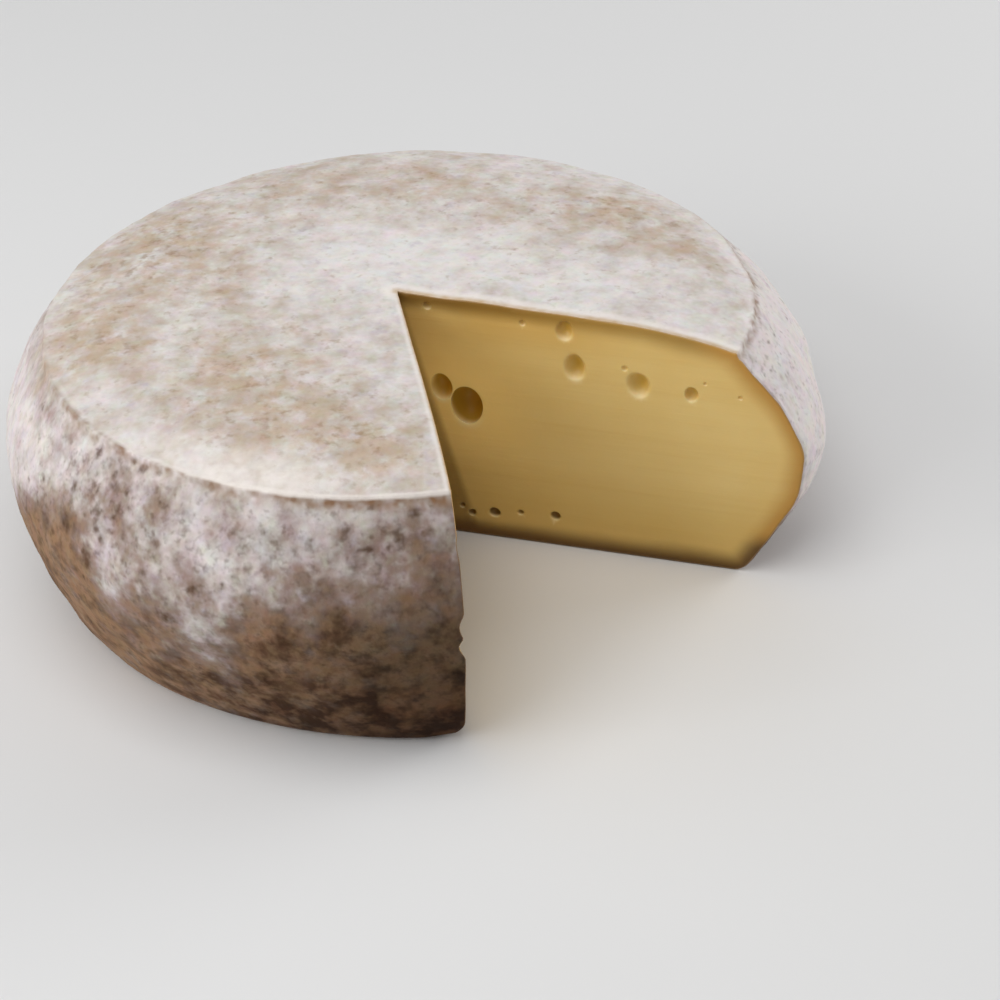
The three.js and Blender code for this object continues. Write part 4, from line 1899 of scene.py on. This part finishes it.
    def _edges(self, board: Board, read: Readings, colour: Wire) -> Wire:
        """Adds the worn pale rim, the broken brown line under it, and beside the cut a pale band and a
        painted highlight.

        Args:
            board: The tree.
            read: What the finish reads, by name.
            colour: The colour so far.

        Returns:
            The colour with its edges.
        """
        wear, dashes, from_cut = read["wear"], read["dashes"], read["from_cut"]
        line = read["rim_line"] + 0.3 * wear
        chalk = (read["chalk"] * (0.9 + 0.5 * read["mottle"])).share()
        colour = board.blend(chalk, colour, self.rim)
        broken = (0.5 + 0.9 * dashes + 0.3 * wear).share() * read["under_line"]
        colour = board.blend(line.step(-0.9, 0.7) * line.step(3.6, 1.0) * broken, colour, self.under_rim)
        worn = (read["worn_rim"] + 0.2 * wear).share()
        colour = board.blend(line.step(-1.5, -0.3) * line.step(0.7, -0.1) * worn, colour, self.rim)
        colour = board.blend(from_cut.step(5.0, 2.4) * read["on_top"] * 0.55, colour, self.rim)
        ragged = (0.35 + 0.8 * dashes).share()
        # Painted highlight: a tan line on the top along the cut edge, where the edge catches light.
        beside = from_cut.step(2.3, 0.3) * read["on_top"] * (0.55 + 0.45 * ragged)
        colour = board.blend(beside, colour, self.cut_edge_highlight)
        side_edge = from_cut.step(1.3, 0.4) * read["on_side"] * ragged * 0.35
        return board.blend(side_edge, colour, self.under_rim)


@dataclass(frozen=True)
class PasteFinish:
    """Ivory yellow paste, browner towards the rind, with knife marks and fine pores, and with painted light,
    shade and highlights on its faces and in its eyes.
    """

    heart: Tone = linear_colour(229, 198, 125)
    cloud: Tone = linear_colour(234, 206, 137)
    outer: Tone = linear_colour(208, 162, 76)
    # painted light for the middle of the cut faces
    painted_light: Tone = linear_colour(252, 219, 139)
    # colour of the painted shade towards the foot of the cut faces
    low: Tone = linear_colour(198, 158, 62)
    under_top: Tone = linear_colour(158, 120, 46)
    under_side: Tone = linear_colour(183, 131, 46)
    under_foot: Tone = linear_colour(98, 65, 6)
    # colour of the painted shade in the inner corner, and of the rind band near the apex
    corner: Tone = linear_colour(110, 74, 16)
    rind_edge: Tone = linear_colour(196, 166, 126)
    # colour of the painted shade inside the eyes
    hollow: Tone = linear_colour(192, 150, 34)
    # colour of the painted highlight on the lower lips of the eyes
    lip: Tone = linear_colour(250, 233, 186)
    cloud_share: float = 0.6
    # where the painted shade along the inner corner starts, and how fast it widens downwards
    corner_top: float = 67.0
    corner_spread: float = 0.247
    side_begins: Ease = (74.0, 86.0)
    foot_begins: Ease = (14.0, 7.0)
    border: Ease = (6.6, 0.4)
    border_share: float = 0.84
    foot_border_share: float = 0.14
    lip_highlight_share: float = 0.6
    face_ends: Ease = (0.5, 0.0)
    bump: float = 0.8
    roughness: float = 0.46
    specular: float = 0.35
    glow: float = 0.22
    glow_reach: tuple[float, float, float] = (3.4, 2.0, 0.8)
    inner_tints: tuple[Tint, ...] = (
        Tint(outer, 0.34, (Ramp({"strokes": 0.6, "knife": 0.5}, -0.3, 1.2),)),
        Tint(outer, 0.2, (Ramp("ripened", 17.0, 3.0),)),
        # Painted light: a brighter patch in the middle left of the cut faces, against the shade of the inner
        # corner.
        Tint(painted_light, 0.85, (Ramp("out", 40.0, 16.0), Ramp("up", 16.0, 36.0),
                         Ramp("up", 62.0, 46.0))),
        # Painted shade under the top edge of the cut faces, in the outer colour.
        Tint(outer, 0.38, (Ramp("up", 54.0, 66.0), Ramp("out", 10.0, 26.0),
                           Ramp("out", 64.0, 40.0))),
        # Painted shade towards the foot of the cut faces.
        Tint(low, 0.34, (Ramp("up", 30.0, 10.0),)),
    )
    edge_tints: tuple[Tint, ...] = (
        # The rind band darker near the apex: partly the paste's own colour, partly painted shade.
        Tint(corner, 0.75, (Ramp("ripened", 5.5, 0.8), Ramp("out", 62.0, 0.0))),
        # Painted shade along the inner corner, widening from the apex to the base.
        Tint(corner, 0.55, (Ramp("fringe", 2.2, -0.4),)),
        Tint(rind_edge, 0.4, (Ramp("ripened", 0.45, 0.2),)),
        Tint(under_foot, 1.0, (Ramp("ripened", 0.9, 0.3), Ramp("up", 63.0, 58.0)),
             "dark_border"),
        Tint(outer, 0.25, (Ramp("pores", 0.95, 1.4),)),
    )
    eye_tints: tuple[Tint, ...] = (
        # Painted shade inside the eyes: the deeper, the darker.
        Tint(hollow, 0.92, (Ramp("eye_depth", 0.3, 3.2),)),
        # Painted shade inside the eyes near the foot.
        Tint(under_foot, 0.8, (Ramp("eye_depth", 0.1, 1.0), Ramp("up", 14.0, 10.0))),
    )

    def material(self) -> bpy.types.Material:
        """Builds the material.

        Returns:
            The material.
        """
        material, board = new_material("yellow_paste")
        read = readings(board, PASTE_GRAINS, PASTE_VALUES)
        out, up, wander = read["face_out"], read["face_up"], read["wander"]
        # fringe: distance from the line along which painted shade fills the inner corner.
        read |= {"out": out, "up": up, "ripened": read["rind_depth"] * (1 + 0.18 * wander),
                 "fringe": out - (self.corner_top - up) * self.corner_spread}
        at_foot = up.step(*self.foot_begins)
        rind_side = board.blend(out.step(*self.side_begins), self.under_top, self.under_side)
        rind_side = board.blend(at_foot, rind_side, self.under_foot)
        clouds = (0.5 + 0.5 * wander).share() * self.cloud_share
        colour = lay_all(self.inner_tints, board, read, board.blend(clouds, self.heart, self.cloud))
        border = read["ripened"].step(*self.border) * (self.border_share + self.foot_border_share * at_foot)
        colour = lay_all(self.edge_tints, board, read, board.blend(border, colour, rind_side))
        # Painted highlight on the lower lips of the eyes.
        colour = board.blend(read["painted_lip_highlight"] * self.lip_highlight_share, colour, self.lip)
        colour = lay_all(self.eye_tints, board, read, colour)

        flat = read["eye_depth"].step(*self.face_ends)
        grain = read["grain"]
        marks = (0.05 * read["knife"] + 0.06 * read["strokes"]) * flat + 0.012 * grain
        bump = board.node("ShaderNodeBump", {}, {"Strength": self.bump, "Distance": MM, "Height": marks})
        give_surface(board, {
            "Base Color": colour, "Roughness": self.roughness + 0.06 * grain - 0.08 * (1 - flat),
            "Specular IOR Level": self.specular, "Subsurface Weight": self.glow,
            "Subsurface Radius": self.glow_reach, "Subsurface Scale": MM, "Normal": board.wire(bump)})
        return material


@dataclass
class TommeWheel:
    """The wheel with its wedge cut out, as one closed piece.

    Attributes:
        calm_foot: Height over which the relief grows in from the flat base.
        cut_reach: Furthest that distances from the cut are painted.
        left_sharpness: How many times narrower the tan painted highlight beside the cut is at the left cut
            than at the right one.
    """

    name: str = "wheel_in_rind"
    skin: CheeseSkin = field(default_factory=CheeseSkin)
    crust: Crust = Crust()
    pattern: RindPattern = RindPattern()
    rind: RindFinish = RindFinish()
    paste: PasteFinish = PasteFinish()
    calm_foot: float = 5.0
    cut_reach: float = 30.0
    left_sharpness: float = 2.5

    def build(self) -> bpy.types.Object:
        """Builds the piece in place of the solid.

        Returns:
            The piece, dressed and riding on the body.
        """
        welded = Skin.weld(self.skin.patches())
        rind_out = welded.normals(Finish.RIND)
        paste_out = welded.normals(Finish.PASTE)
        on_rind = np.linalg.norm(rind_out, axis=1) > 0
        on_edge = on_rind & (np.linalg.norm(paste_out, axis=1) > 0)
        self._paint(welded, on_rind)
        points = welded.points.copy()
        drawn_in = rind_out[on_edge] + paste_out[on_edge]
        drawn_in[:, 2] = np.where(points[on_edge, 2] < self.skin.edge_inset, 0, drawn_in[:, 2])
        points[on_edge] -= drawn_in * self.skin.edge_rounding
        in_plane = (rind_out * paste_out).sum(axis=1, keepdims=True) * paste_out
        rind_out = rind_out - np.where(on_edge[:, None], in_plane, 0)

        mesh = bpy.data.meshes.new(self.name)
        mesh.from_pydata(((points + CENTRING) * MM).tolist(), [], welded.faces)
        for name, numbers in welded.values.items():
            painted = mesh.attributes.new(name, "FLOAT", "POINT")
            painted.data.foreach_set("value", numbers.astype(np.float32))
        outwards = mesh.attributes.new("rind_out", "FLOAT_VECTOR", "POINT")
        outwards.data.foreach_set("vector", rind_out.astype(np.float32).ravel())
        is_paste = mesh.attributes.new("is_paste", "BOOLEAN", "FACE")
        is_paste.data.foreach_set("value", welded.finishes == Finish.PASTE.value)
        mesh.shade_smooth()
        self._crease(mesh, welded)
        piece = bpy.data.objects.new(self.name, mesh)
        bpy.context.scene.collection.objects.link(piece)
        self.crust.grow(piece, self.rind.material(), self.paste.material())
        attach(piece, "root")
        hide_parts(NODE)
        return piece

    def _paint(self, welded: Skin, on_rind: Array) -> None:
        """Adds the values that the relief and the finishes read.

        Args:
            welded: The skin to paint.
            on_rind: Which of its points the rind reaches.
        """
        points = welded.points
        welded.values["crust"] = on_rind * smooth_step(points[:, 2], 0, self.calm_foot)
        welded.values["from_cut"] = np.minimum.reduce([
            self.skin.left.distance(points) * self.left_sharpness, self.skin.right.distance(points),
            np.full(len(points), self.cut_reach)])
        self.pattern.paint(welded.values, points)

    def _crease(self, mesh: bpy.types.Mesh, welded: Skin) -> None:
        """Marks the inner corner, where the two cut faces meet, as sharp.

        Args:
            mesh: The mesh.
            welded: The skin that it was made from.
        """
        corner = np.maximum(np.abs(self.skin.left.measure(welded.points)[:, 2]),
                            np.abs(self.skin.right.measure(welded.points)[:, 2])) < 1e-3
        ends = np.zeros(len(mesh.edges) * 2, np.int32)
        mesh.edges.foreach_get("vertices", ends)
        sharp = mesh.attributes.new("sharp_edge", "BOOLEAN", "EDGE")
        sharp.data.foreach_set("value", corner[ends.reshape(-1, 2)].all(axis=1))


@dataclass(frozen=True)
class SoftBox:
    """One soft light, aimed at the cheese. Sizes are in metres and the power in watts."""

    name: str
    place: tuple[float, float, float]
    width: float
    depth: float
    power: float
    colour: tuple[float, float, float] = (1.0, 1.0, 1.0)

    def hang(self, target: Vector) -> None:
        """Hangs the light.

        Args:
            target: What it is turned to.
        """
        data = bpy.data.lights.new(self.name, "AREA")
        data.shape = "RECTANGLE"
        data.size, data.size_y = self.width, self.depth
        data.energy = self.power
        data.color = self.colour
        lamp = bpy.data.objects.new(self.name, data)
        lamp.location = self.place
        lamp.rotation_euler = (target - Vector(self.place)).to_track_quat("-Z", "Y").to_euler()
        bpy.context.scene.collection.objects.link(lamp)


@dataclass(frozen=True)
class Viewpoint:
    """The photograph's camera. Distances are in millimetres and angles in radians."""

    lens: float = 109.94
    sensor: float = 36.0
    elevation: float = 0.5277
    distance: float = 773.34
    aim_height: float = 66.68
    yaw: float = 0.0277
    pitch: float = 0.0662
    roll: float = -0.0691

    def set_up(self) -> None:
        """Places the camera and makes it the scene's."""
        data = bpy.data.cameras.new("photograph_view")
        data.sensor_fit = "HORIZONTAL"
        data.sensor_width = self.sensor
        data.lens = self.lens
        camera = bpy.data.objects.new("photograph_view", data)
        back = Vector((0, -math.cos(self.elevation), math.sin(self.elevation)))
        level = Vector((1, 0, 0))
        above = level.cross(-back)
        ahead = (-back * math.cos(self.pitch) * math.cos(self.yaw)
                 + level * math.sin(self.yaw) * math.cos(self.pitch) - above * math.sin(self.pitch))
        right = ahead.cross(Vector((0, 0, 1))).normalized()
        up = right.cross(ahead)
        right, up = (math.cos(self.roll) * right + math.sin(self.roll) * up,
                     math.cos(self.roll) * up - math.sin(self.roll) * right)
        turned = Matrix((right, up, -ahead)).transposed().to_4x4()
        stand = (back * self.distance + Vector((0, 0, self.aim_height)) + Vector(CENTRING)) * MM
        camera.matrix_world = Matrix.Translation(stand) @ turned
        bpy.context.scene.collection.objects.link(camera)
        bpy.context.scene.camera = camera


@dataclass(frozen=True)
class Studio:
    """Pale floor, soft lights and camera."""

    floor_size: float = 8.0
    floor_drop: float = 0.0002
    floor_colour: Tone = (0.8, 0.8, 0.8, 1.0)
    surroundings: float = 0.26
    target: tuple[float, float, float] = (0.0, 0.0, 0.035)
    view: Viewpoint = Viewpoint()
    lights: tuple[SoftBox, ...] = (
        SoftBox("overhead", (-0.20, -0.25, 1.15), 1.0, 0.8, 5.3),
        SoftBox("left_side", (-1.00, 0.10, 0.50), 0.9, 0.7, 3.0),
        SoftBox("left_front", (-0.90, -0.60, 0.60), 0.9, 0.7, 4.8),
        SoftBox("right_back", (0.98, 0.40, 0.33), 0.8, 0.7, 6.2),
    )

    def set_up(self) -> None:
        """Builds the studio."""
        scene = bpy.context.scene
        scene.view_settings.view_transform = "Standard"
        scene.view_settings.look = "None"
        world = bpy.data.worlds.new("pale_room")
        world.use_nodes = True
        board = Board(world.node_tree)
        glow = board.node("ShaderNodeBackground", {},
                          {"Color": (1.0, 1.0, 1.0, 1.0), "Strength": self.surroundings})
        board.node("ShaderNodeOutputWorld", {}, {"Surface": board.wire(glow)})
        scene.world = world
        for light in self.lights:
            light.hang(Vector(self.target))
        self._floor()
        self.view.set_up()

    def _floor(self) -> None:
        """Lays the floor."""
        material, board = new_material("pale_floor")
        give_surface(board, {"Base Color": self.floor_colour, "Roughness": 0.9, "Specular IOR Level": 0.1})
        half = self.floor_size / 2
        mesh = bpy.data.meshes.new("studio_floor")
        corners = [(-half, -half), (half, -half), (half, half), (-half, half)]
        mesh.from_pydata([(x, y, -self.floor_drop) for x, y in corners], [], [(0, 1, 2, 3)])
        mesh.materials.append(material)
        floor = bpy.data.objects.new("studio_floor", mesh)
        bpy.context.scene.collection.objects.link(floor)


def main() -> None:
    """Builds the studio and the cheese, and notes the cheese's number of points and triangles."""
    logging.basicConfig(level=logging.INFO, format="%(name)s: %(message)s")
    Studio().set_up()
    piece = TommeWheel().build()
    triangles = sum(len(face.vertices) - 2 for face in piece.data.polygons)
    LOG.info("%s: %d points, %d triangles", piece.name, len(piece.data.vertices), triangles)
    bpy.context.view_layer.update()


if __name__ == "__main__":
    main()
